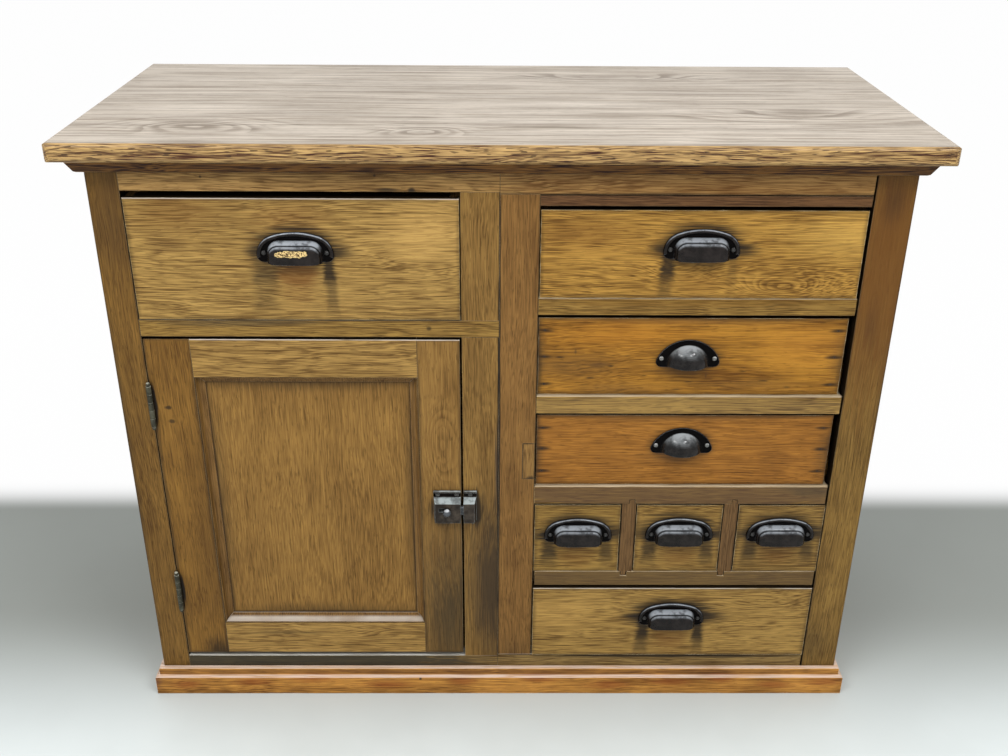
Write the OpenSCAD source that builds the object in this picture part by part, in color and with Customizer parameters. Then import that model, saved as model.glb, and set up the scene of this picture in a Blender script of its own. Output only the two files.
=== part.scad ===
// Bakers cabinet: a free-standing counter cabinet with a panelled door under one wide drawer on the
// left, and a bank of seven drawers on the right. Millimetres. X runs to the right, Y to the back,
// Z up. The origin is on the floor under the middle of the worktop.

/* [Worktop] */
// Width of the worktop
top_w = 1143; // [960:1:1370]
// Depth of the worktop
top_d = 508; // [430:1:610]
// Thickness of the worktop
top_t = 25; // [20:0.5:30]
// Height of the whole cabinet
total_h = 898; // [750:1:1075]
// Radius of the worktop's edges
top_round = 6.5; // [3:0.5:8]
// Radius of the worktop's corners, seen from above
top_corner_r = 10; // [6:0.5:16]
// How far the worktop stands past the front and the sides
overhang = 36; // [30:0.5:44]
// How far the worktop stands past the back
back_overhang = 12; // [5:1:20]

/* [Face frame] */
// Thickness of the face frame
frame_t = 22; // [20:0.5:28]
// Width of the left stile
left_stile_w = 41.5; // [34:0.5:60]
// Width of the short stiles beside the door
inner_stile_w = 51.5; // [42:0.5:64]
// Width of the stile between door and drawer bank
centre_stile_w = 52.5; // [44:0.5:66]
// Width of the right stile
right_stile_w = 52.5; // [44:0.5:66]
// Where the left and right units meet, from the middle
unit_joint_x = -4; // [-40:1:40]
// Height of the top rail over the left drawer
left_top_rail_h = 45.5; // [38:0.5:56]
// Height of the top rail over the drawer bank
right_top_rail_h = 48; // [40:0.5:58]
// Height of the thin rail under the right top rail
sub_rail_h = 14.5; // [12:0.5:18]
// Height of the rail between left drawer and door
mid_rail_h = 25; // [20:0.5:32]
// Heights of the four dividers of the drawer bank, top to bottom
divider_h = [24.5, 27.5, 30, 26];
// Depth of the dividers, front to back
divider_d = 45; // [30:1:60]
// Width of the muntins between the small drawers
muntin_w = 21; // [17:0.5:26]
// Gap between the bank's rails and the right stile
rail_end_gap = 2.5; // [0.5:0.5:5]
// Relative heights of the five drawer openings, top to bottom
bank_shares = [129.5, 124.5, 121.5, 122, 134];
// Relative heights of the left drawer opening and the door opening
left_shares = [180.5, 551.5];

/* [Carcass] */
// Thickness of side, floor and partition boards
board_t = 20; // [16:0.5:25]
// Thickness of the back boards
back_t = 12; // [9:0.5:15]
// Height of the floor board's top face
floor_z = 70; // [62:1:90]
// How far the sill under the door lies below the floor board
sill_drop = 3.5; // [0:0.5:6]
// Boards in each side
side_boards = 3; // [2:1:4]
// Boards in the back
back_board_count = 8; // [5:1:12]
// Thickness of the shelf behind the door
shelf_t = 18; // [15:1:22]

/* [Mouldings] */
// Height of the moulding under the worktop
cornice_h = 19; // [16:1:24]
// How far that moulding stands out at its top
cornice_out = 18.5; // [14:0.5:24]
// How far the base moulding stands out
base_out = 13; // [10:0.5:18]
// Height of the base moulding
base_h = 46; // [40:1:56]

/* [Drawers] */
// Thickness of the drawer fronts
front_t = 20; // [17:0.5:24]
// Thickness of drawer sides and backs
drawer_side_t = 12; // [9:0.5:14]
// Thickness of the drawer bottoms
drawer_bottom_t = 6; // [5:0.5:8]
// Free space behind the drawers
drawer_back_room = 15; // [8:1:40]
// Gap beside a drawer
drawer_gap = 1.5; // [1:0.1:3]
// Width of the ledges that the drawers run on
runner_w = 24; // [18:1:32]
// Thickness of the ledges
runner_t = 20; // [14:1:22]

/* [Door] */
// Thickness of the door
door_t = 22; // [19:0.5:26]
// Gap round the door at its hinge side
hinge_gap = 1.5; // [1.2:0.1:2.5]
// Gap at its latch side
latch_gap = 3; // [2:0.1:4]
// Width of the door's hinge stile
door_hinge_stile_w = 63; // [52:1:75]
// Width of the door's latch stile
door_latch_stile_w = 59.5; // [52:0.5:72]
// Height of the door's rails
door_rail_h = 58.5; // [48:0.5:70]
// How deep the panel is set back
panel_recess = 12; // [10:0.5:13]
// Thickness of the panel
panel_t = 6; // [5:0.5:7]
// Width of the moulding round the panel
bead_w = 12; // [9:0.5:14]

/* [Hinges] */
// Length of a hinge
hinge_h = 63.5; // [52:0.5:77]
// Radius of the hinge barrel
barrel_r = 3.6; // [3.2:0.1:4.2]
// Radius of the hinge pin
pin_r = 1.55; // [1.3:0.05:1.8]
// Clearance round the pin
pin_clear = 0.05; // [0.02:0.01:0.1]
// Thickness of a hinge leaf
leaf_t = 1.8; // [1.4:0.1:2.2]
// Depth of a hinge leaf behind the pin
leaf_d = 22; // [18:1:24]

/* [Latch] */
// Width of the latch case
case_w = 40; // [36:1:46]
// Height of the latch plates
latch_h = 50; // [46:1:56]
// How far the latch case stands out
case_out = 13; // [12:0.5:16]
// Wall of the latch case
case_wall = 1.8; // [1.4:0.1:2.2]
// Travel of the bolt
bolt_travel = 9; // [7:0.5:10]
// Height of the bolt
bolt_h = 12; // [9:0.5:14]
// Radius of the bolt's knob
knob_r = 6; // [5:0.5:7]

/* [Pulls] */
// Width of the wide cup pulls
wide_pull_w = 102; // [96:1:123]
// Height of the wide cup pulls
wide_pull_h = 41.5; // [39:0.5:50]
// Width of the cup in a wide pull
wide_cup_w = 73; // [60:1:74]
// How far the wide cups stand out
wide_cup_out = 17; // [14:0.5:21]
// Width of the domed pulls
dome_pull_w = 89; // [84:1:107]
// Height of the domed pulls
dome_pull_h = 41; // [38:0.5:49]
// Radius of the dome
dome_r = 31; // [26:0.5:32]
// How far the domes stand out
dome_out = 22; // [17:0.5:26]
// Wall of the cups
cup_wall = 2; // [1.6:0.1:2.6]
// Radius of a pull screw's shank
screw_r = 1.8; // [1.5:0.1:2.2]

/* [Hidden] */
$fn = 48;
eps = 0.01;
// Clearance of a tongue or tenon in its slot
fit = 0.2;
// Joint line between boards or mitred pieces that lie side by side
seam = 0.1;
// Gap under the head of a round-headed screw
seat = 0.03;
tenon_t = 8;
tenon_l = 20;
tenon_shoulder = 3;

// Carcass planes
carcass_w = top_w - 2 * overhang;
xl = -carcass_w / 2;
xr = carcass_w / 2;
yf = -top_d / 2 + overhang;
yb = top_d / 2 - back_overhang;
z_top = total_h - top_t;
y_frame_back = yf + frame_t;
y_board_back = yb - back_t;

// Face frame, left unit
xj = unit_joint_x;
z_left_sill = floor_z - sill_drop;
z_right_sill = floor_z - 0.5;
xl_open = xl + left_stile_w;
xi = xj - inner_stile_w;
left_free = z_top - left_top_rail_h - mid_rail_h - floor_z;
left_share_sum = left_shares[0] + left_shares[1];
z_left_rail = z_top - left_top_rail_h;
z_mid_top = z_left_rail - left_free * left_shares[0] / left_share_sum;
z_mid = z_mid_top - mid_rail_h;

// Face frame, right unit
xc = xj + centre_stile_w;
xr_open = xr - right_stile_w;
x_rail_end = xr_open - rail_end_gap;
z_right_rail = z_top - right_top_rail_h;
sub_rail_gap = 1;
z_sub = z_right_rail - sub_rail_gap - sub_rail_h;
function sum(v, n) = n <= 0 ? 0 : v[n - 1] + sum(v, n - 1);
bank_free = z_sub - sum(divider_h, 4) - floor_z;
function opening_h(i) = bank_free * bank_shares[i] / sum(bank_shares, 5);
function opening_top(i) = i == 0 ? z_sub : opening_top(i - 1) - opening_h(i - 1) - divider_h[i - 1];
function opening_bottom(i) = opening_top(i) - opening_h(i);
small_w = (xr_open - xc - 2 * muntin_w) / 3;
function small_x(i) = xc + i * (small_w + muntin_w);
function muntin_x(i) = small_x(i) + small_w;

// Partition and interior
x_part_l = xj - board_t / 2;
x_part_r = xj + board_t / 2;
x_in_l = xl + board_t;
x_in_r = xr - board_t;
z_shelf = floor_z + (z_mid - floor_z) / 2 - shelf_t;
cleat_t = 18;
cleat_h = 26;

// Door
door_gap_below = 3;
door_gap_above = 3.5;
door_x0 = xl_open + hinge_gap;
door_x1 = xi - latch_gap;
door_z0 = floor_z + door_gap_below;
door_z1 = z_mid - door_gap_above;
door_mid_z = (door_z0 + door_z1) / 2;
panel_x0 = door_x0 + door_hinge_stile_w;
panel_x1 = door_x1 - door_latch_stile_w;
panel_z0 = door_z0 + door_rail_h;
panel_z1 = door_z1 - door_rail_h;
groove_d = 6;

// Hinges. The barrel stands in front of the gap between stile and door.
hinge_x = xl_open + hinge_gap / 2;
hinge_y = yf - barrel_r - 0.6;
hinge_down = 102.5;
hinge_up = 121;
hinge_zs = [door_z1 - hinge_down - hinge_h / 2, door_z0 + hinge_up - hinge_h / 2];
knuckles = 5;
knuckle_gap = 0.3;
knuckle_h = (hinge_h - (knuckles - 1) * knuckle_gap) / knuckles;
leaf_gap = 0.3;
leaf_y1 = hinge_y + leaf_d;
leaf_screw_zs = [0.14, 0.5, 0.86];
leaf_screw_y = yf + frame_t * 0.5;
leaf_screw_l = 14;

// Latch, at mid height of the door. The bolt lies behind the sloping upper half of the case.
latch_z = door_mid_z - 3.4;
plate_t = 2;
plate_z0 = latch_z - latch_h * 0.34;
plate_z1 = plate_z0 + latch_h;
lip_h = 2.6;
lip_out = 4.5;
case_x0 = door_x1 - 1 - case_w;
case_x1 = door_x1 - 1;
keeper_x0 = xi + 0.3;
keeper_w = 19;
case_z0 = plate_z0 + 1;
case_z1 = plate_z1 - 10;
slope_h = 6;
case_front = yf - case_out;
bolt_z = latch_z + 3;
bolt_y0 = case_front + case_wall + 0.4;
bolt_t = 6;
bolt_x0 = case_x0 + 16;
bolt_x1 = keeper_x0 + 7;
knob_x = bolt_x0 + 4;
knob_z = bolt_z + 3;
stem_r = 2.4;
spring_x0 = case_x0 + case_wall + 0.1;
spring_wire = 0.45;
spring_r = 2.2;
spring_turns = 5;

// Drawers, each as [x0, x1, opening's bottom, opening's top, how far its front is set back, gap over
// the front, whether its pull is a wide one, how far the pull's foot is above and beside the middle]
drawer_names = ["left_drawer", "top_drawer", "second_drawer", "third_drawer",
                "small_drawer_1", "small_drawer_2", "small_drawer_3", "bottom_drawer"];
loose_gap = 8;
function bank(i, x0, x1, back, gap, wide, up, side) =
    [x0, x1, opening_bottom(i), opening_top(i), back, gap, wide, up, side];
function small(i, up) =
    bank(3, small_x(i) + drawer_gap, small_x(i) + small_w - drawer_gap, 0, 1.5, true, up, 1.6);
drawers = [
    [xl_open + drawer_gap, xi - drawer_gap, z_mid_top, z_left_rail, -1, 8.5, true, -1.3, 1],
    bank(0, xc + drawer_gap, xr_open - 4.5, 0, 5, true, -4.7, -1),
    bank(1, xc + drawer_gap, xr_open - loose_gap, 5.5, 6, false, -14.6, -4),
    bank(2, xc + drawer_gap, xr_open - loose_gap, 5.5, 4.5, false, -3.6, -2.4),
    small(0, -5), small(1, -4), small(2, -4),
    bank(4, xc + drawer_gap, xr_open - 3, -3, 3, true, -4, 1)
];
drawer_floor_gap = 1;
drawer_y1 = y_board_back - drawer_back_room;
rabbet_d = 12;
bottom_up = 10;
bottom_groove = 5;
back_dado = 4;
function dx0(d) = d[0];
function dx1(d) = d[1];
function dz0(d) = d[2] + drawer_floor_gap;
function dz1(d) = d[3] - d[5];
function dyf(d) = yf + d[4];
function pull_x(d) = (d[0] + d[1]) / 2 + d[8];
function pull_z(d) = (dz0(d) + dz1(d)) / 2 + d[7];
// Radii of a pull's plate: of its shoulders, and of its lower corners, which hold the screws
wide_shoulder_r = 28.5;
wide_lobe_r = 9;
dome_lobe_r = 7.5;
function pull_screw_x(d) = d[6] ? wide_pull_w / 2 - wide_lobe_r - 0.5 : dome_pull_w / 2 - dome_lobe_r;
pull_screw_up = 13;
pull_plate_t = 2;
screw_l = 14;

oak = "#93713b";
oak_top = "#8f7558";
dark_oak = "#6b4f30";
pine = "#b0762f";
red_pine = "#9a5a2c";
inside_wood = "#a58555";
iron = "#3a3836";
steel = "#6c6a62";

// ---- helpers ----

// A block between two corners
module block(x0, x1, y0, y1, z0, z1) {
    translate([x0, y0, z0]) cube([x1 - x0, y1 - y0, z1 - z0]);
}

// A rectangle with rounded corners
module round_rect(w, h, r) {
    translate([r, 0]) square([w - 2 * r, h]);
    translate([0, r]) square([w, h - 2 * r]);
    for (x = [r, w - r], y = [r, h - r]) translate([x, y]) circle(r = r);
}

// Points along an arc round [x, y], from one angle to another
function arc(x, y, r, from, to, steps) =
    [for (i = [0:steps]) let (a = from + (to - from) * i / steps) [x + r * cos(a), y + r * sin(a)]];

// A 2D shape drawn in X and Z, pushed along Y from y0 to y1
module push_y(y0, y1) {
    translate([0, y1, 0]) rotate([90, 0, 0]) linear_extrude(y1 - y0) children();
}

// A 2D shape drawn in Y and Z, pushed along X from x0 to x1
module push_x(x0, x1) {
    translate([x0, 0, 0]) rotate([90, 0, 90]) linear_extrude(x1 - x0) children();
}

// A cylinder along Y
module rod_y(x, z, y0, y1, r) {
    translate([x, y1, z]) rotate([90, 0, 0]) cylinder(r = r, h = y1 - y0);
}

// A cylinder along X
module rod_x(y, z, x0, x1, r) {
    translate([x0, y, z]) rotate([0, 90, 0]) cylinder(r = r, h = x1 - x0);
}

// ---- worktop and mouldings ----

module worktop() {
    color(oak_top) intersection() {
        translate([0, -top_d / 2, z_top]) push_x(-top_w / 2, top_w / 2)
            round_rect(top_d, top_t, top_round);
        translate([-top_w / 2, 0, z_top]) push_y(-top_d / 2, top_d / 2)
            round_rect(top_w, top_t, top_round);
        translate([-top_w / 2, -top_d / 2, z_top]) linear_extrude(top_t)
            round_rect(top_w, top_d, top_corner_r);
    }
}

// Section of the moulding under the worktop: x is out from the carcass, y is height from its foot
module cornice_section() {
    foot = cornice_out * 0.54;
    round_r = 3;
    polygon([[0, 0], [foot - round_r, 0], [foot, round_r * 0.6], [cornice_out * 0.72, cornice_h * 0.42],
             [cornice_out * 0.93, cornice_h * 0.8], [cornice_out, cornice_h * 0.84],
             [cornice_out, cornice_h], [0, cornice_h]]);
}

// Section of the base moulding: a board with a rounded top edge, and a cap with a hollow foot on it
module base_section() {
    edge_r = 2;
    cap_edge_r = 1.5;
    hollow_r = 3.5;
    cap_h = 13.5;
    board_h = base_h - cap_h;
    cap_out = base_out - edge_r - hollow_r - 0.5;
    polygon(concat([[0, 0], [base_out, 0]],
                   arc(base_out - edge_r, board_h - edge_r, edge_r, 0, 90, 4),
                   arc(cap_out + hollow_r, board_h + hollow_r, hollow_r, 270, 180, 5),
                   arc(cap_out - cap_edge_r, base_h - cap_edge_r, cap_edge_r, 0, 90, 4),
                   [[0, base_h]]));
}

// The space that one arm of a mitred moulding fills; arm 0 is the front, 1 the right and -1 the left
module mitre_room(arm, out) {
    far = out + 50;
    gap = seam / 2;
    if (arm == 0)
        polygon([[xl + gap, yf], [xl + gap - far, yf - far], [xr - gap + far, yf - far], [xr - gap, yf]]);
    else mirror([arm < 0 ? 1 : 0, 0])
        polygon([[xr, yf - gap], [xr + far, yf - gap - far], [xr + far, yb + far], [xr, yb + far]]);
}

module moulding(out, z0, h) {
    intersection() {
        translate([0, yf, z0]) push_x(xl - out, xr + out) mirror([1, 0]) children();
        translate([0, 0, z0]) linear_extrude(h) mitre_room(0, out);
    }
    for (side = [-1, 1]) intersection() {
        mirror([side < 0 ? 1 : 0, 0, 0]) translate([xr, 0, z0]) push_y(yf - out, yb) children();
        translate([0, 0, z0]) linear_extrude(h) mitre_room(side, out);
    }
}

module top_moulding() {
    color(dark_oak) moulding(cornice_out, z_top - cornice_h, cornice_h) cornice_section();
}

module base_moulding() {
    color(red_pine) moulding(base_out, 0, base_h) base_section();
}

// ---- face frame ----

y_tenon = yf + (frame_t - tenon_t) / 2;

// A rail between x0 and x1, with a tenon of the given length at each end
module rail(x0, x1, z0, z1, left_tenon, right_tenon, depth = frame_t) {
    block(x0, x1, yf, yf + depth, z0, z1);
    block(x0 - left_tenon, x1 + right_tenon, y_tenon, y_tenon + tenon_t,
          z0 + tenon_shoulder, z1 - tenon_shoulder);
}

// The mortise for such a tenon, cut from x0 to x1
module mortise(x0, x1, z0, z1) {
    block(x0, x1, y_tenon - fit, y_tenon + tenon_t + fit,
          z0 + tenon_shoulder - fit, z1 - tenon_shoulder + fit);
}

// A short stile with a tenon up and down
module short_stile(x0, x1, z0, z1, down, up) {
    block(x0, x1, yf, y_frame_back, z0, z1);
    block(x0 + 10, x1 - 10, y_tenon, y_tenon + tenon_t, z0 - down, z1 + up);
}

module short_mortise(x0, x1, z0, z1) {
    block(x0 + 10 - fit, x1 - 10 + fit, y_tenon - fit, y_tenon + tenon_t + fit, z0, z1);
}

short_tenon = 10;
left_rails = [[z_left_rail, z_top], [z_mid, z_mid_top], [0, z_left_sill]];
bank_rails = [[z_right_rail, z_top], [z_sub, z_sub + sub_rail_h],
              for (i = [0:3]) [opening_top(i + 1), opening_bottom(i)], [0, z_right_sill]];

module left_stile() {
    color(oak) difference() {
        block(xl, xl_open, yf, y_frame_back, 0, z_top);
        for (r = left_rails) mortise(xl_open - tenon_l - fit, xl_open + 1, r[0], r[1]);
        for (z = hinge_zs) leaf_pocket(xl_open - leaf_inset() - fit, xl_open + 1, z);
        for (z = hinge_zs, s = leaf_screw_zs)
            rod_x(leaf_screw_y, z + hinge_h * s, xl_open - leaf_screw_l - 2, xl_open, screw_r + 0.05);
    }
}

module centre_stile() {
    color(oak) difference() {
        short_stile(xj, xc, z_right_sill, z_right_rail, short_tenon, short_tenon);
        for (i = [1:len(bank_rails) - 2])
            mortise(xc - tenon_l - fit, xc + 1, bank_rails[i][0], bank_rails[i][1]);
        patch_shape(fit / 2, 1);
    }
}

module right_stile() {
    color(oak) difference() {
        block(xr_open, xr, yf, y_frame_back, 0, z_top);
        for (r = bank_rails) mortise(xr_open - 1, xr_open + tenon_l + fit, r[0], r[1]);
    }
}

module inner_stiles() {
    color(oak) difference() {
        union() {
            short_stile(xi, xj, z_mid_top, z_left_rail, short_tenon, short_tenon);
            short_stile(xi, xj, z_left_sill, z_mid, short_tenon, short_tenon);
        }
        for (p = keeper_screws) rod_y(p[0], p[1], yf - 1, yf + screw_l, screw_r + 0.05);
    }
}

module top_rails() {
    color(oak) difference() {
        union() {
            rail(xl_open, xj, z_left_rail, z_top, tenon_l, 0);
            rail(xj + fit, x_rail_end, z_right_rail, z_top, 0, tenon_l);
        }
        short_mortise(xi, xj, z_left_rail - 1, z_left_rail + short_tenon + fit);
        short_mortise(xj, xc, z_right_rail - 1, z_right_rail + short_tenon + fit);
    }
}

module sub_rail() {
    color(dark_oak) rail(xc, x_rail_end, z_sub, z_sub + sub_rail_h, tenon_l, tenon_l);
}

module mid_rail() {
    color(oak) difference() {
        rail(xl_open, xj, z_mid, z_mid_top, tenon_l, 0);
        short_mortise(xi, xj, z_mid - 1, z_mid + short_tenon + fit);
        short_mortise(xi, xj, z_mid_top - short_tenon - fit, z_mid_top + 1);
    }
}

module bottom_rails() {
    color(dark_oak) difference() {
        union() {
            rail(xl_open, xj, 0, z_left_sill, tenon_l, 0);
            rail(xj + fit, x_rail_end, 0, z_right_sill, 0, tenon_l);
        }
        short_mortise(xi, xj, z_left_sill - short_tenon - fit, z_left_sill + 1);
        short_mortise(xj, xc, z_right_sill - short_tenon - fit, z_right_sill + 1);
    }
}

// The stubs of a muntin are let into the faces of the dividers above and below it; the lower one is loose
stub_w = 8;
stub_h = 7;
stub_d = 12;
stub_in = [4, 1.5];
module muntin_stub(i, up_gap, down_gap) {
    x_up = muntin_x(i) + muntin_w - stub_w - 2;
    x_down = muntin_x(i) + stub_in[i];
    block(x_up - up_gap, x_up + stub_w + up_gap, yf - up_gap, yf + stub_d + up_gap,
          opening_top(3) - 1, opening_top(3) + stub_h + up_gap);
    block(x_down - down_gap, x_down + stub_w + down_gap, yf - down_gap, yf + stub_d + down_gap,
          opening_bottom(3) - stub_h - down_gap, opening_bottom(3) + 1);
}

// Gaps between the centre stile and the left ends of the four dividers
divider_start_gap = [0, 0, 0, 3];
module drawer_dividers() {
    color(dark_oak) difference() {
        union() for (i = [0:3])
            rail(xc + divider_start_gap[i], x_rail_end, bank_rails[i + 2][0], bank_rails[i + 2][1],
                 tenon_l + divider_start_gap[i], tenon_l, divider_d);
        for (i = [0:1]) muntin_stub(i, fit, 0.8);
    }
}

module drawer_muntins() {
    color(dark_oak) for (i = [0:1]) {
        block(muntin_x(i), muntin_x(i) + muntin_w, yf, y_frame_back,
              opening_bottom(3) + eps, opening_top(3) - eps);
        muntin_stub(i, 0, 0);
    }
}

// A patch let into the edge of the centre stile beside the third drawer
module patch_shape(grow, proud) {
    patch_w = 18;
    patch_h = 60;
    patch_d = 6;
    z_mid_patch = (opening_bottom(2) + opening_top(2)) / 2 - 18;
    block(xc - patch_w - grow, xc + proud, yf - proud, yf + patch_d + grow,
          z_mid_patch - patch_h / 2 - grow, z_mid_patch + patch_h / 2 + grow);
}

module stile_patch() {
    color(oak) patch_shape(0, 0);
}

// ---- carcass boards ----

// Section of one board: x runs over its width, y is its depth from the outside. The near edge has a
// groove and the far edge a tongue, and both outside edges of a joint are bevelled.
module board_section(w, t, first, last) {
    tongue = 6;
    tongue_t = t / 3;
    bevel = 2.2;
    difference() {
        union() {
            square([w - seam, t]);
            if (!last) translate([0, tongue_t]) square([w + tongue, tongue_t]);
        }
        if (!first) {
            translate([-1, tongue_t - fit]) square([tongue + fit + 1, tongue_t + 2 * fit]);
            rotate(45) square(bevel, center = true);
        }
        if (!last) translate([w - seam, 0]) rotate(45) square(bevel, center = true);
    }
}

// Boards side by side from x0 to x1, of thickness t along Y, from z0 to z1
module matched_boards(x0, x1, t, z0, z1, count) {
    w = (x1 - x0 + seam) / count;
    for (i = [0:count - 1])
        translate([x0 + i * w, 0, z0]) linear_extrude(z1 - z0)
            board_section(w, t, i == 0, i == count - 1);
}

module side_boards(side) {
    color(oak) mirror([side > 0 ? 1 : 0, 0, 0]) translate([xl, 0, 0]) rotate([0, 0, 90]) mirror([0, 1, 0])
        matched_boards(y_frame_back, y_board_back, board_t, 0, z_top, side_boards);
}

module left_side_boards() side_boards(-1);
module right_side_boards() side_boards(1);

module back_boards() {
    color(inside_wood) translate([0, yb, 0]) mirror([0, 1, 0])
        matched_boards(xl, xr, back_t, 25, z_top, back_board_count);
}

module floor_board() {
    color(inside_wood) block(x_in_l, x_in_r, y_frame_back, y_board_back, floor_z - board_t, floor_z);
}

module partition() {
    color(inside_wood) block(x_part_l, x_part_r, y_frame_back, y_board_back, floor_z, z_top);
}

module shelf() {
    color(inside_wood) block(x_in_l + 1, x_part_l - 1, y_frame_back + 12, y_board_back - 1,
                             z_shelf, z_shelf + shelf_t);
}

// The blocks that a closed drawer's front rests against
module drawer_stops(d) {
    stop_w = 12;
    stop_l = 18;
    stop_h = bottom_up - 4;
    y0 = dyf(d) + front_t + seam;
    for (x = [dx0(d) + drawer_side_t + 2, dx1(d) - drawer_side_t - 2 - stop_w])
        block(x, x + stop_w, y0, y0 + stop_l, d[2] + eps, d[2] + stop_h);
}

module cleats_and_blocks() {
    blocks = 40;
    color(inside_wood) {
        for (d = drawers) drawer_stops(d);
        for (x = [x_in_l, x_part_l - cleat_t])
            block(x, x + cleat_t, y_frame_back + 14, y_board_back - 6, z_shelf - cleat_h, z_shelf);
        // Glue blocks in the corners under the floor
        for (x = [x_in_l, x_in_r - blocks], y = [y_frame_back, y_board_back - blocks])
            block(x, x + blocks, y, y + blocks, 4, floor_z - board_t);
        // Bearer under the partition
        block(xj - blocks / 2, xj + blocks / 2, y_frame_back, y_board_back, 4, floor_z - board_t);
    }
}

// One runner: a ledge from the wall at xw to past the opening's edge at xo, with its top at z, and a
// guide strip on it that fills the space beside the drawer
module runner(xw, xo, z, y0, guide) {
    inward = xo > xw ? 1 : -1;
    tip = xo + inward * runner_w;
    block(min(xw, tip), max(xw, tip), y0, y_board_back, z - runner_t, z);
    if (guide) translate([0, 0, eps]) block(min(xw, xo), max(xw, xo), y0, y_board_back, z, z + 18);
}

module drawer_runners() {
    y_div = yf + divider_d + 0.1;
    y_fr = y_frame_back + 0.1;
    color(inside_wood) {
        // Left drawer: ledges with guides, and kickers above
        runner(x_in_l, xl_open, z_mid_top, y_fr, true);
        runner(x_part_l, xi, z_mid_top, y_fr, true);
        runner(x_in_l, xl_open, z_left_rail + runner_t, y_fr, false);
        runner(x_part_l, xi, z_left_rail + runner_t, y_fr, false);
        // Drawer bank: a ledge pair behind each divider
        for (i = [0:3]) {
            runner(x_part_r, xc, opening_bottom(i), y_div, true);
            runner(x_in_r, xr_open, opening_bottom(i), y_div, true);
        }
        // Kickers over the top drawer
        runner(x_part_r, xc, z_sub + runner_t, y_fr, false);
        runner(x_in_r, xr_open, z_sub + runner_t, y_fr, false);
        // Guides beside the bottom drawer, which runs on the floor board
        block(x_part_r, xc, y_fr, y_board_back, floor_z + eps, floor_z + 18);
        block(xr_open, x_in_r, y_fr, y_board_back, floor_z + eps, floor_z + 18);
        // Ledges and guides behind the muntins
        for (i = [0:1]) {
            block(muntin_x(i) - 16, muntin_x(i) + muntin_w + 16, y_div, y_board_back,
                  opening_bottom(3) - runner_t, opening_bottom(3));
            block(muntin_x(i), muntin_x(i) + muntin_w, y_div, y_board_back,
                  opening_bottom(3) + eps, opening_bottom(3) + 18);
        }
    }
}

// ---- door ----

module door_groove(x0, x1, z0, z1) {
    block(x0, x1, yf + panel_recess - fit, yf + panel_recess + panel_t + fit, z0, z1);
}

// The panel's slot, cut round the inside of the frame
module panel_slot() {
    reach = groove_d + fit;
    door_groove(panel_x0 - reach, panel_x1 + reach, panel_z0 - reach, panel_z1 + reach);
}

y_door_tenon = yf + (door_t - tenon_t) / 2;
door_tenon_l = 35;
module door_tenons(grow) {
    for (z = [door_z0, panel_z1])
        block(panel_x0 - door_tenon_l - grow, panel_x1 + door_tenon_l + grow, y_door_tenon - grow,
              y_door_tenon + tenon_t + grow, z + 14 - grow, z + door_rail_h - 14 + grow);
}

module door_hinge_stile() {
    color(oak) difference() {
        block(door_x0, panel_x0, yf, yf + door_t, door_z0, door_z1);
        panel_slot();
        door_tenons(fit);
        for (z = hinge_zs) leaf_pocket(door_x0 - 1, door_x0 + leaf_inset() + fit, z);
        for (z = hinge_zs, s = leaf_screw_zs)
            rod_x(leaf_screw_y, z + hinge_h * s, door_x0, door_x0 + leaf_screw_l + 2, screw_r + 0.05);
    }
}

module door_latch_stile() {
    color(oak) difference() {
        block(panel_x1, door_x1, yf, yf + door_t, door_z0, door_z1);
        panel_slot();
        door_tenons(fit);
        for (p = case_screws) rod_y(p[0], p[1], yf - 1, yf + screw_l, screw_r + 0.05);
    }
}

module door_rails() {
    color(oak) difference() {
        union() {
            for (z = [door_z0, panel_z1]) block(panel_x0, panel_x1, yf, yf + door_t, z, z + door_rail_h);
            door_tenons(0);
        }
        panel_slot();
    }
}

module door_panel() {
    color(oak) block(panel_x0 - groove_d, panel_x1 + groove_d,
                     yf + panel_recess, yf + panel_recess + panel_t,
                     panel_z0 - groove_d, panel_z1 + groove_d);
}

// Section of the moulding round the panel: x is in from the frame, y is out from the panel
module bead_section() {
    rise = panel_recess - 1;
    lip = 2;
    hollow_r = min(bead_w - lip, rise - 1);
    difference() {
        square([bead_w, rise]);
        translate([bead_w, rise]) circle(r = hollow_r);
        translate([bead_w - 1, lip]) square([2, rise]);
    }
}

// One side of the panel moulding, of the given length, cut to a mitre at both ends
module bead_strip(length) {
    intersection() {
        rotate([90, 0, 90]) linear_extrude(length) bead_section();
        translate([0, 0, -1]) linear_extrude(panel_recess + 2)
            polygon([[seam, 0], [length - seam, 0],
                     [length - seam - bead_w, bead_w], [seam + bead_w, bead_w]]);
    }
}

module door_moulding() {
    pw = panel_x1 - panel_x0;
    ph = panel_z1 - panel_z0;
    places = [[panel_x0, panel_z0, 0, pw], [panel_x1, panel_z0, 90, ph],
              [panel_x1, panel_z1, 180, pw], [panel_x0, panel_z1, 270, ph]];
    color(oak) for (p = places)
        translate([p[0], yf + panel_recess, p[1]]) rotate([90, 0, 0]) rotate([0, 0, p[2]])
            bead_strip(p[3]);
}

// ---- hinges ----

function leaf_inset() = leaf_t + leaf_gap / 2 - hinge_gap / 2;

module leaf_pocket(x0, x1, z) {
    block(x0, x1, yf - 1, leaf_y1 + fit, z - fit, z + hinge_h + fit);
}

// A countersunk hinge screw along X, its head level with the leaf. side is as for leaf().
module leaf_screw(z, side, grow) {
    head_h = leaf_t * 0.8;
    translate([hinge_x + side * leaf_gap / 2, leaf_screw_y, z]) rotate([0, side * 90, 0]) {
        translate([0, 0, grow > 0 ? -1 : 0]) cylinder(r = screw_r + grow, h = leaf_screw_l);
        cylinder(r1 = screw_r + head_h + grow, r2 = screw_r + grow, h = head_h);
    }
}

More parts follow.
